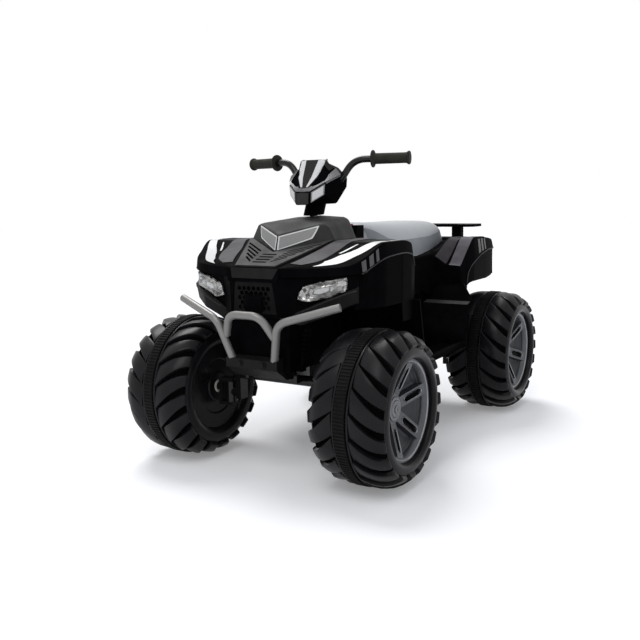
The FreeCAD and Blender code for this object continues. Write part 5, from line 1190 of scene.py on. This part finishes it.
    def scoop(self) -> None:
        """Raised scoop with a prow, its silver wedges and their pale outline.

        The scoop is a closed set of facets whose edges are rounded, most at its rear corners. A wedge is a grid of
        straight lines between two edges of the front facet, set off along the facet's normal.
        """
        spots = {name: np.array(spot, float) for name, spot in self.scoop_corners.items()}
        for name in ("foot_side", "foot_rear", "shoulder", "rear"):
            spots[name + "_r"] = spots[name] * FLIP_X
        facets = [("foot_front", "foot_side", "shoulder", "prow"), ("foot_front", "prow", "shoulder_r", "foot_side_r"),
                  ("foot_side", "foot_rear", "rear", "shoulder"),
                  ("foot_side_r", "shoulder_r", "rear_r", "foot_rear_r"),
                  ("prow", "shoulder", "crown_front"), ("prow", "crown_front", "shoulder_r"),
                  ("shoulder", "rear", "crown_rear", "crown_front"),
                  ("shoulder_r", "crown_front", "crown_rear", "rear_r"),
                  ("foot_rear", "foot_rear_r", "rear_r", "crown_rear", "rear")]
        round_edges = {frozenset(("foot_rear", "rear")): 24.0, frozenset(("foot_rear_r", "rear_r")): 24.0,
                       frozenset(("rear", "crown_rear")): 14.0, frozenset(("rear_r", "crown_rear")): 14.0,
                       frozenset(("shoulder", "rear")): 14.0, frozenset(("shoulder_r", "rear_r")): 14.0,
                       frozenset(("crown_front", "crown_rear")): 0.0}
        faceted_piece("bonnet_scoop", spots, facets, round_edges, 4.0, MATT, "chassis", ["hood_scoop", "scoop_trim"])

        def wedge(lower: Sequence[Sequence[float]], upper: Sequence[Sequence[float]], height: float,
                  sink: float) -> Patch:
            """A plate on the left front facet and its mirror image.

            Args:
                lower: Share from the prow to the shoulder, with the share up of the plate's lower edge there.
                upper: The same for its upper edge.
                height: How far the plate stands off.
                sink: How far its rim goes in.

            Returns:
                Both plates.
            """
            across = np.linspace(lower[0][0], lower[-1][0], 33)
            start, end = (reading(edge, across)[:, None] for edge in (lower, upper))
            up = start + (end - start) * np.linspace(0, 1, 7)[None]
            low = spots["foot_front"] + (spots["foot_side"] - spots["foot_front"]) * across[:, None]
            high = spots["prow"] + (spots["shoulder"] - spots["prow"]) * across[:, None]
            sheet = low[:, None] + (high - low)[:, None] * up[..., None]
            return both_sides(raised_plate(sheet, self.scoop_middle, height, sink))
        piece("scoop_wedge_edges", wedge(self.rim_low, self.rim_high, height=1.0, sink=1.0), PALE, "chassis")
        piece("scoop_wedge_faces", wedge(self.face_low, self.face_high, height=1.5, sink=0.3), SILVER, "chassis")

    def headlamps(self) -> None:
        """Faceted lamps with their glasses, the blades under them with a painted highlight along each edge, and the
        walls that close the fascia to the cowl.

        A lamp is rings of its outline that shrink towards its middle while their depth goes in and out. From the
        third ring on every other point is pushed in, staggered from ring to ring, which makes flat facets. Core and
        glass are the same without the push, as shallow domes.
        """
        outline = np.array(self.lamp_outline)
        loop = np.vstack([outline, outline[:1]])
        far = np.concatenate([[0], np.cumsum(np.linalg.norm(np.diff(loop, axis=0), axis=1))])
        at = np.linspace(0, far[-1], 42, endpoint=False)
        edge = np.stack([np.interp(at, far, loop[:, k]) for k in range(2)], axis=1)
        centre = outline.mean(axis=0)

        def rings(sizes: Sequence[Sequence[float]], push: float = 0.0) -> Patch:
            """Rings of the outline joined to a surface in front of the fascia.

            Args:
                sizes: Each ring's share of the outline and how far it lies behind the face.
                push: How far every other point goes in.

            Returns:
                The surfaces of both lamps.
            """
            share, back = np.array(sizes).T
            flat = centre + (edge - centre)[None] * share[:, None, None]
            row = np.arange(len(share))[:, None]
            zig = push * ((np.arange(len(at))[None] + row) % 2) * (row > 1)
            (x_in, y_in), (x_out, y_out) = self.lamp_face
            y = y_in + (flat[..., 0] - x_in) * ((y_out - y_in) / (x_out - x_in)) + back[:, None] + zig
            left = grid(np.stack([flat[..., 0], y, flat[..., 1]], axis=-1), wrap_v=True)
            return both_sides(left.away_from(self.lamp_middle))
        piece("crystal_bowls", rings(self.bowl_rings, self.bowl_push), MIRROR, "chassis", ["headlamp_reflectors"],
              closed=False, sharp=8.0)
        piece("lamp_cores", rings(self.core_rings), PALE, "chassis", closed=False)
        piece("lamp_glasses", rings(self.glass_rings), LENS, "chassis", ["headlamp_lenses"], closed=False,
              wall=self.glass_wall)
        run = np.linspace(*self.blade_run, 29)
        low, y, lean, deep = (reading(line, run) for line in (
            self.blade_height, self.blade_y, self.blade_lean, self.blade_depth))
        # A blade's section: behind its top, its edge, its lower edge, and behind that
        corners = np.stack([np.stack([run, *spot], axis=1) for spot in (
            (y + 3, low + 9), (y - lean, low + 1), (y - lean + 6, low - deep), (y + 3, low - deep - 2))], axis=1)
        piece("lamp_blades", both_sides(grid(corners, wrap_v=True)), BLADE, "chassis")
        # A thin bead along each blade's edge in lighter grey: a painted highlight
        rim = np.stack([run, y - lean - 0.4, low + 1.6], axis=1)[8:]
        piece("blade_edge_highlights", both_sides(tube(rim, self.blade_rim, 10)), MATT, "chassis")
        for name, plan, heights, inside, sink in (
                ("lamp_roofs", self.roof_plan, self.roof_heights, (100.0, -250.0, 390.0), 1.0),
                ("lamp_corners", self.corner_plan, self.corner_heights, (150.0, -250.0, 390.0), 1.5)):
            wall = np.stack([np.column_stack([plan, np.full(len(plan), float(z))]) for z in heights], axis=1)
            piece(name, both_sides(raised_plate(wall, inside, height=0.5, sink=sink)), BODY, "chassis")

    def nose(self) -> None:
        """Dark face under the bonnet's front edge and the faceted block in the middle of the grille.

        The face is a sheet of straight lines between two edges. The block is a sheet whose middle columns stand
        forward of its edges.
        """
        ends = np.array(self.bonnet_edges)
        u, v = np.linspace(0, 1, 7)[:, None, None], np.linspace(0, 1, 13)[None, :, None]
        rows = ruled(ends[0][None], ends[1][None], u)
        sheet = ruled(rows[:, :1], rows[:, 1:], v)
        piece("bonnet_face", raised_plate(sheet, self.nose_middle, height=1.0, sink=1.0), BLADE, "chassis")
        wide, y, z, share = np.array(self.block_rows, float).T[..., None]
        across, stand, rise = np.array(self.block_columns, float).T[:, None]
        block = np.stack(np.broadcast_arrays(wide * across, y - stand, z + rise * share), axis=-1)
        piece("nose_block", raised_plate(block, self.nose_middle, height=0.5, sink=4.0), BODY, "chassis", sharp=14.0)

    def build(self) -> None:
        """Make the cowl, its films and painted highlights, the scoop, the lamps and the nose."""
        piece("bonnet_and_fenders", self.cowl(), BODY, "chassis", ["front_cowl"], closed=False, wall=self.cowl_wall)
        self.decals_and_highlights()
        self.scoop()
        self.headlamps()
        self.nose()


@dataclass
class BullBar:
    """Silver-grey tubes in front of the nose."""

    radius: float = 8.0
    bend: float = 22.0
    outer: Triples = ((191, -415, 358), (72, -453, 324), (48, -430, 232))
    arch: Triples = ((58, -441.5, 293), (37, -460, 338))

    def build(self) -> None:
        """Make the three tubes as one piece."""
        side = tube(rounded(np.array(self.outer, float), self.bend, 10), self.radius)
        leg = np.array(self.arch, float)
        arch = tube(rounded(np.vstack([leg, leg[::-1] * FLIP_X]), self.bend, 10), self.radius)
        piece("bull_bar_tubes", joined([both_sides(side), arch]), BUMPER, "chassis", ["bull_bar"])


@dataclass
class RearBody:
    """Saddle, rear cowl with fenders and its bars."""

    # Saddle sections: y, half width below, half width at the top, height of the crown, height of the base
    saddle: tuple[tuple[float, float, float, float, float], ...] = (
        (-72, 66, 54, 497, 442), (-62, 78, 62, 503, 440.7), (-40, 92, 73, 505, 437.7), (20, 104, 81, 503, 429.7),
        (108, 110, 87, 500.5, 418), (170, 107, 87, 500, 423), (230, 101, 85, 500, 428), (290, 95, 81, 499, 438.3),
        (318, 92, 79, 496, 443.1), (331, 89, 75, 487, 445.3), (335, 86, 70, 470, 446))
    # Cowl sections: y, then (x, z) from the middle to the skirt's lower edge
    stations: tuple[tuple[float, Pairs], ...] = (
        (-141.7, ((0, 441.7), (60, 441.7), (86, 441.7), (104, 435.7), (110, 420),
                  (114, 410), (116, 405), (117, 380), (118, 333))),
        (-72, ((0, 441.7), (60, 441.7), (86, 441.7), (104, 435.7), (110, 420),
               (114, 410), (116, 405), (117, 380), (118, 333))),
        (108, ((0, 417.7), (70, 417.7), (112, 417.7), (116, 414.7), (118, 405),
               (120, 395), (122, 385), (123, 370), (124, 333))),
        (165, ((0, 422.4), (70, 422.4), (110, 422.4), (118, 417.4), (121, 408),
               (124, 398), (126, 388), (127, 375), (128, 314))),
        (186, ((0, 424.1), (70, 424.1), (109, 424.1), (119, 418), (123, 410),
               (126, 402), (128, 392), (129, 380), (129, 314))),
        (191, ((0, 424.5), (70, 424.5), (108, 424.5), (124, 413), (156, 392),
               (162, 390), (194, 388), (199, 330), (200, 316))),
        (212, ((0, 426.2), (70, 426.2), (106, 426.2), (129, 426), (160.5, 410),
               (165.5, 411), (198.5, 411), (204, 335), (204, 320))),
        (218, ((0, 426.7), (70, 426.7), (106, 426.7), (130, 430), (161, 415),
               (166, 417), (199.5, 418), (205.5, 366), (205, 336))),
        (235, ((0, 428.6), (70, 428.6), (105, 428.6), (133, 442), (162.5, 431),
               (167.5, 436), (202, 437), (208, 386), (207.5, 343))),
        (258, ((0, 432.5), (70, 432.5), (104, 432.5), (140, 456), (164, 450),
               (169, 456), (205, 457.5), (211, 398), (210, 345))),
        (297, ((0, 439.2), (70, 439.2), (99, 439.2), (140, 456), (164, 450.5),
               (169, 456), (206, 457.5), (212, 412), (210, 345))),
        (335, ((0, 445.7), (70, 445.7), (95, 445.7), (140, 455), (164, 451),
               (169, 455.5), (206, 456.5), (212, 418.5), (210, 345))),
        (345, ((0, 452), (70, 452), (95, 452), (140, 452), (164, 450),
               (169, 453), (206, 454.5), (212, 421), (210, 345))),
        (396, ((0, 452), (70, 452), (95, 452), (140, 452), (164, 450),
               (169, 450), (204, 448), (210, 423), (208, 350))),
        (408, ((0, 442), (70, 442), (95, 442), (138, 442), (162, 441),
               (166, 441), (198, 434), (204, 420), (203, 352))))
    fillets: tuple[float, ...] = (6, 5, 8, 3, 3, 6, 2, 2)
    cowl_wall: float = 3.0
    tail_foot: float = 352.0
    # How far the panel under the fender's lip is set back, and over which run the step grows
    recess: float = 3.0
    recess_run: Pair = (213, 222)
    # Power of the saddle's sections, the swell of its flanks, and the upper edge of the painted shade on them as y and
    # z
    saddle_power: float = 4.2
    saddle_swell: float = 0.02
    flank_shade_line: Pairs = ((-66, 494), (-50, 488), (-5, 466), (50, 459), (230, 461), (300, 468), (322, 474))
    # From where to where along the bike the bars, the painted highlights on the dome and the facet, and the lip with
    # its painted highlight run
    bar_runs: Pairs = ((282, 296), (304, 316), (326, 334))
    dome_highlight_run: Pair = (191.5, 332.0)
    facet_highlight_run: Pair = (191.5, 258.0)
    lip_run: Pair = (214, 404)
    lip_radius: float = 1.3

    def seat(self) -> Patch:
        """Saddle as one smooth lofted form, closed below and at its ends."""
        rows = np.array(self.saddle)
        places = between(rows[:, 0], 6)
        half = self.on_seat(places, np.broadcast_to(np.linspace(0, math.pi / 2, 25)[None], (len(places), 25)))
        top = np.concatenate([half, half[:, -2::-1] * FLIP_X], axis=1)
        middle = np.stack([0 * places, places, top[:, 0, 2]], axis=-1)
        under = np.stack([top[:, -1], middle, top[:, 0]], axis=1)
        ends = [np.stack([top[k], np.broadcast_to(middle[k], top[k].shape)]) for k in (0, -1)]
        return joined([grid(top), grid(under), *[grid(end) for end in ends]])

    def on_seat(self, places: Array, angle: Array) -> Array:
        """Points on the saddle's left half.

        Across the bike a section climbs from its lower edge round a swelling flank to the crown: its half width
        blends from the lower to the upper one, then closes as a superellipse.

        Args:
            places: Places along the bike.
            angle: Angle round the section from 0 below to a right angle at the crown, by place and column.

        Returns:
            Points by place and column.
        """
        rows = np.array(self.saddle)
        wide, narrow, crown, base = smoothed(rows[:, 1:], rows[:, 0], places).T[..., None]
        flank = np.sin(angle) ** (2 / self.saddle_power)
        closing = np.cos(angle) ** (2 / self.saddle_power)
        half = (wide + (narrow - wide) * flank) * closing * (1.0 + self.saddle_swell * np.sin(2 * angle))
        return stood(np.stack([half, base + (crown - base) * flank], axis=-1), places)

    def seat_flank_shade(self) -> Patch:
        """Painted shade on the lower part of the saddle's side: a thin plate up to a line that falls, then runs level.
        """
        rows = np.array(self.saddle)
        places = np.linspace(self.flank_shade_line[0][0], self.flank_shade_line[-1][0], 70)
        line = reading(self.flank_shade_line, places)
        _, _, crown, base = smoothed(rows[:, 1:], rows[:, 0], places).T
        limit = np.arcsin(np.clip((line - base) / (crown - base), 0, 1) ** (self.saddle_power / 2))
        angle = limit[:, None] * np.linspace(0.001, 1, 17)[None]
        return raised_plate(self.on_seat(places, angle), (0.0, 130.0, 460.0), height=0.6, sink=0.6)

    def sections(self, places: Array) -> Array:
        """Cowl section points carried along the bike.

        The three points nearest the middle run straight from station to station, the others halfway between a
        straight and a smooth line.

        Args:
            places: Where sections are wanted.

        Returns:
            Points by place and section point.
        """
        knots, tracks = split(self.stations)
        straight = np.stack([np.stack([np.interp(places, knots, tracks[:, j, k]) for k in range(2)], -1)
                             for j in range(tracks.shape[1])], axis=1)
        soft = 0.5 * straight + 0.5 * smoothed(tracks, knots, places)
        return stood(np.where((np.arange(tracks.shape[1]) < 3)[None, :, None], straight, soft), places)

    def cowl(self) -> Patch:
        """Rear cowl: sections with rounded corners, a panel set back under the fender's lip, and a closed tail.

        Returns:
            The open shell.
        """
        places = between(split(self.stations)[0], 7)
        points = self.sections(places)
        back = step(*self.recess_run, places)[:, None] * np.array([self.recess, 0, 0])
        lip_under = points[:, 7] - back - np.array([0, 0, 1.0])
        foot = points[:, 8] - back
        line = np.concatenate([points[:, :8], lip_under[:, None], foot[:, None]], axis=1)
        skin = rounded(line.swapaxes(0, 1), self.fillets, 4).swapaxes(0, 1)
        end = skin[-1]
        tail = np.stack([end, end * np.array([1, 1, 0]) + np.array([0, 0, self.tail_foot])], axis=1)
        half = joined([grid(skin).away_from((60.0, 250.0, 340.0)), grid(tail).away_from((60.0, 250.0, 400.0))])
        return both_sides(half)

    def build(self) -> None:
        """Make the saddle with painted shade on its flanks, the cowl, and the bars, painted highlights and lips with
        painted highlights on its fenders.
        """
        piece("saddle", self.seat(), SEAT, "chassis", ["seat"], sharp=50.0)
        # Painted shade on the lower part of the saddle's sides
        piece("saddle_flank_shade", both_sides(self.seat_flank_shade()), SEAT_SIDE_SHADE, "chassis")
        piece("rear_cowl_and_fenders", self.cowl(), BODY, "chassis", ["rear_cowl"], closed=False,
              wall=self.cowl_wall)
        bars = []
        for start, end in self.bar_runs:
            edges = self.sections(np.linspace(start, end, 5))[:, 6:8]
            down = np.linspace(0.12, 0.86, 7)[None, :, None]
            points = ruled(edges[:, :1], edges[:, 1:], down)
            bars.append(raised_plate(points, (100.0, 300.0, 430.0), height=0.6, sink=0.5))
        piece("rear_fender_bars", both_sides(joined(bars)), GREY_FILM, "chassis")
        # Painted highlights on each rear fender's dome and facet
        for name, finish, (inner, outer), run in (("rear_dome_top_highlights", FENDER_HIGHLIGHT, (3, 4), self.dome_highlight_run),
                                                  ("rear_facet_top_highlights", REAR_FACET_HIGHLIGHT, (5, 6), self.facet_highlight_run)):
            edges = self.sections(np.linspace(*run, 40))
            across = np.linspace(0.04, 0.96, 9)[None, :, None]
            points = ruled(edges[:, inner, None], edges[:, outer, None], across)
            plate = raised_plate(points, (150.0, 300.0, 300.0), height=0.8, sink=1.6)
            piece(name, both_sides(plate), finish, "chassis")
        lip = self.sections(np.linspace(*self.lip_run, 60))[:, 7]
        # A thin bead along each rear fender's lip, with a painted highlight
        piece("rear_fender_lip_highlights", both_sides(tube(lip, self.lip_radius, 10)), FENDER_HIGHLIGHT, "chassis")


@dataclass
class Tub:
    """Lower body, as its solid with trimmed footboard walls, and painted highlights on the ledges behind the feet."""

    trim_half: float = 205.0
    trim_above: Pair = (160.0, 310.5)
    # Ledge: place along the bike and height of its front and rear edges
    ledge: tuple[Pair, Pair] = ((134.5, 299.6), (153.0, 304.8))
    ledge_x: Pair = (120.0, 235.0)
    # Points of the solid nearer than this many metres are merged, and edges that bend by more degrees stay crisp
    merge: float = 1e-6
    sharp: float = 30.0

    def build(self) -> None:
        """Copy the tub and draw in the ends of its rear walls above the ledge, then lay lighter plates on the ledges as
        painted highlights.

        Points behind and above the trim's start have their x limited to the trim's half.
        """
        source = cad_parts["chassis_tub"]
        mesh = source.data.copy()
        mesh.transform(source.matrix_world)
        work = bmesh.new()
        work.from_mesh(mesh)
        bmesh.ops.remove_doubles(work, verts=work.verts, dist=self.merge)
        work.to_mesh(mesh)
        work.free()
        places = np.empty(3 * len(mesh.vertices), np.float32)
        mesh.vertices.foreach_get("co", places)
        places = places.reshape(-1, 3)
        limit = np.float32(self.trim_half * MM)
        high = (places[:, 1] > self.trim_above[0] * MM) & (places[:, 2] > self.trim_above[1] * MM)
        places[:, 0] = np.where(high, np.clip(places[:, 0], -limit, limit), places[:, 0])
        mesh.vertices.foreach_set("co", places.ravel())
        mesh.shade_smooth()
        mesh.set_sharp_from_angle(angle=math.radians(self.sharp))
        mesh.materials.clear()
        mesh.materials.append(BODY.material())
        thing = linked("trimmed_tub", mesh)
        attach(thing, "chassis")
        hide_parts("chassis_tub")
        across = np.linspace(*self.ledge_x, 9)[None]
        y, z = (np.array([[self.ledge[0][k]], [self.ledge[1][k]]]) for k in range(2))
        sheet = np.stack(np.broadcast_arrays(across, y, z), axis=-1).astype(float)
        plate = raised_plate(sheet, (170.0, 150.0, 200.0), height=0.6, sink=0.6)
        # Lighter plates on the ledges: a painted highlight
        piece("foot_ledge_highlights", both_sides(plate), MATT, "chassis")


@dataclass
class CarriedNodes:
    """Solids that are shown as they are, each with its finish."""

    def build(self) -> None:
        """Give every solid the finish named for it, by the start of its name."""
        for name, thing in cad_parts.items():
            found = [finish for start, finish in NODE_FINISH.items() if name.startswith(start)]
            finish = found[-1] if found else BODY
            thing.data.materials.clear()
            thing.data.materials.append(finish.material())
            LOG.info("%s keeps its solid in %s", name, finish.name)


@dataclass
class Studio:
    """Camera, soft lamps, white floor and surroundings."""

    eye: Triple = (0.91746, -1.69324, 0.55837)
    yaw: float = 31.107
    pitch: float = 8.620
    roll: float = -0.943
    lens: float = 44.558
    sensor: float = 36.0
    # Lights: where they come from in metres, their power, and how wide the sky's looks or how large the lamp is
    sky_from: Triple = (-0.9, 0.7, 2.0)
    sky_power: float = 1.7
    sky_spread: float = 30.0
    lamp_place: Triple = (0.3, -2.0, 2.7)
    lamp_size: float = 1.6
    lamp_power: float = 26.0
    aim: Triple = (0.0, 0.0, 0.28)
    white: Quad = (1.0, 1.0, 1.0, 1.0)
    ambient_colour: Quad = (0.92, 0.95, 1.0, 1.0)
    ambient: float = 0.5
    floor_colour: Quad = (0.90, 0.90, 0.915, 1.0)
    floor_glow: float = 0.20
    floor_half: float = 14000.0
    floor_height: float = -0.2

    def camera(self) -> None:
        """Stand the camera where the photograph was taken from."""
        yaw, pitch, roll = (math.radians(angle) for angle in (self.yaw, self.pitch, self.roll))
        ahead = Vector((-math.sin(yaw) * math.cos(pitch), math.cos(yaw) * math.cos(pitch), -math.sin(pitch)))
        level = Vector((math.cos(yaw), math.sin(yaw), 0.0))
        rise = level.cross(ahead)
        right = math.cos(roll) * level + math.sin(roll) * rise
        up = -math.sin(roll) * level + math.cos(roll) * rise
        data = bpy.data.cameras.new("camera")
        data.lens = self.lens
        data.sensor_width = self.sensor
        data.clip_end = 60.0
        thing = linked("camera", data)
        turn = Matrix((right, up, -ahead)).transposed().to_4x4()
        thing.matrix_world = Matrix.Translation(self.eye) @ turn
        bpy.context.scene.camera = thing

    def lamp(self, name: str, place: Sequence[float], size: float, power: float) -> None:
        """A soft square lamp aimed at the bike.

        Args:
            name: The lamp's name.
            place: Where it hangs, in metres.
            size: Side of the square, in metres.
            power: Its power in watts.
        """
        data = bpy.data.lights.new(name, "AREA")
        data.shape = "SQUARE"
        data.size = size
        data.energy = power
        self._aim(name, data, place)

    def sky_light(self, place: Sequence[float], power: float, spread: float) -> None:
        """An even light from one side of the sky, so that the floor is lit alike everywhere.

        Args:
            place: The side that it comes from.
            power: Its strength in watts per square metre.
            spread: How wide it looks, in degrees.
        """
        data = bpy.data.lights.new("sky_light", "SUN")
        data.energy = power
        data.angle = math.radians(spread)
        self._aim("sky_light", data, place)

    def _aim(self, name: str, data: bpy.types.Light, place: Sequence[float]) -> None:
        """Hang a light at a place and turn it to the bike.

        Args:
            name: The light's name.
            data: The light.
            place: Where it hangs, in metres.
        """
        thing = linked(name, data)
        aim = Vector(self.aim) - Vector(place)
        thing.matrix_world = Matrix.Translation(place) @ aim.to_track_quat("-Z", "Y").to_matrix().to_4x4()

    def _seen(self, tree: bpy.types.NodeTree) -> bpy.types.NodeSocket:
        """A value that is 1 where the camera looks, straight, in a reflection or through glass.

        Args:
            tree: The nodes to add to.

        Returns:
            The value.
        """
        path = tree.nodes.new("ShaderNodeLightPath")
        value = path.outputs["Is Camera Ray"]
        for name in ("Is Glossy Ray", "Is Transmission Ray"):
            top = tree.nodes.new("ShaderNodeMath")
            top.operation = "MAXIMUM"
            tree.links.new(value, top.inputs[0])
            tree.links.new(path.outputs[name], top.inputs[1])
            value = top.outputs["Value"]
        return value

    def surroundings(self) -> None:
        """White to the camera and in reflections, a plain soft fill otherwise."""
        world = bpy.data.worlds.new("studio")
        bpy.context.scene.world = world
        world.use_nodes = True
        tree = world.node_tree
        tree.nodes.clear()
        out = tree.nodes.new("ShaderNodeOutputWorld")
        mix = tree.nodes.new("ShaderNodeMixShader")
        fill = tree.nodes.new("ShaderNodeBackground")
        fill.inputs["Color"].default_value = self.ambient_colour
        fill.inputs["Strength"].default_value = self.ambient
        white = tree.nodes.new("ShaderNodeBackground")
        white.inputs["Color"].default_value = self.white
        white.inputs["Strength"].default_value = 1.0
        tree.links.new(self._seen(tree), mix.inputs["Fac"])
        tree.links.new(fill.outputs["Background"], mix.inputs[1])
        tree.links.new(white.outputs["Background"], mix.inputs[2])
        tree.links.new(mix.outputs["Shader"], out.inputs["Surface"])

    def floor(self) -> None:
        """A wide white floor that keeps the shadow: its diffuse light plus a little glow for the camera."""
        reach = np.linspace(-self.floor_half, self.floor_half, 3)
        x, y = np.meshgrid(reach, reach)
        sheet = grid(np.stack([x, y, np.full_like(x, self.floor_height)], axis=-1))
        mesh = bpy.data.meshes.new("floor")
        mesh.from_pydata((sheet.points * MM).tolist(), [], sheet.faces.tolist())
        thing = linked("floor", mesh)
        paint = bpy.data.materials.new("floor_white")
        paint.use_nodes = True
        tree = paint.node_tree
        tree.nodes.clear()
        out = tree.nodes.new("ShaderNodeOutputMaterial")
        matt = tree.nodes.new("ShaderNodeBsdfDiffuse")
        matt.inputs["Color"].default_value = self.floor_colour
        glow = tree.nodes.new("ShaderNodeEmission")
        glow.inputs["Color"].default_value = self.white
        share = tree.nodes.new("ShaderNodeMath")
        share.operation = "MULTIPLY"
        share.inputs[1].default_value = self.floor_glow
        tree.links.new(self._seen(tree), share.inputs[0])
        tree.links.new(share.outputs["Value"], glow.inputs["Strength"])
        both = tree.nodes.new("ShaderNodeAddShader")
        tree.links.new(matt.outputs["BSDF"], both.inputs[0])
        tree.links.new(glow.outputs["Emission"], both.inputs[1])
        tree.links.new(both.outputs["Shader"], out.inputs["Surface"])
        mesh.materials.append(paint)

    def build(self) -> None:
        """Set up camera, lamps, surroundings and floor."""
        bpy.context.scene.view_settings.view_transform = "Standard"
        self.camera()
        self.surroundings()
        self.floor()
        self.sky_light(self.sky_from, self.sky_power, self.sky_spread)
        self.lamp("front_lamp", self.lamp_place, self.lamp_size, self.lamp_power)


def main() -> None:
    """Build the looks in order."""
    logging.basicConfig(level=logging.INFO, format="%(name)s: %(message)s")
    CarriedNodes().build()
    Studio().build()
    for part in (Wheels(), Steering(), FrontBody(), BullBar(), RearBody(), Tub()):
        part.build()


if __name__ == "__main__":
    main()
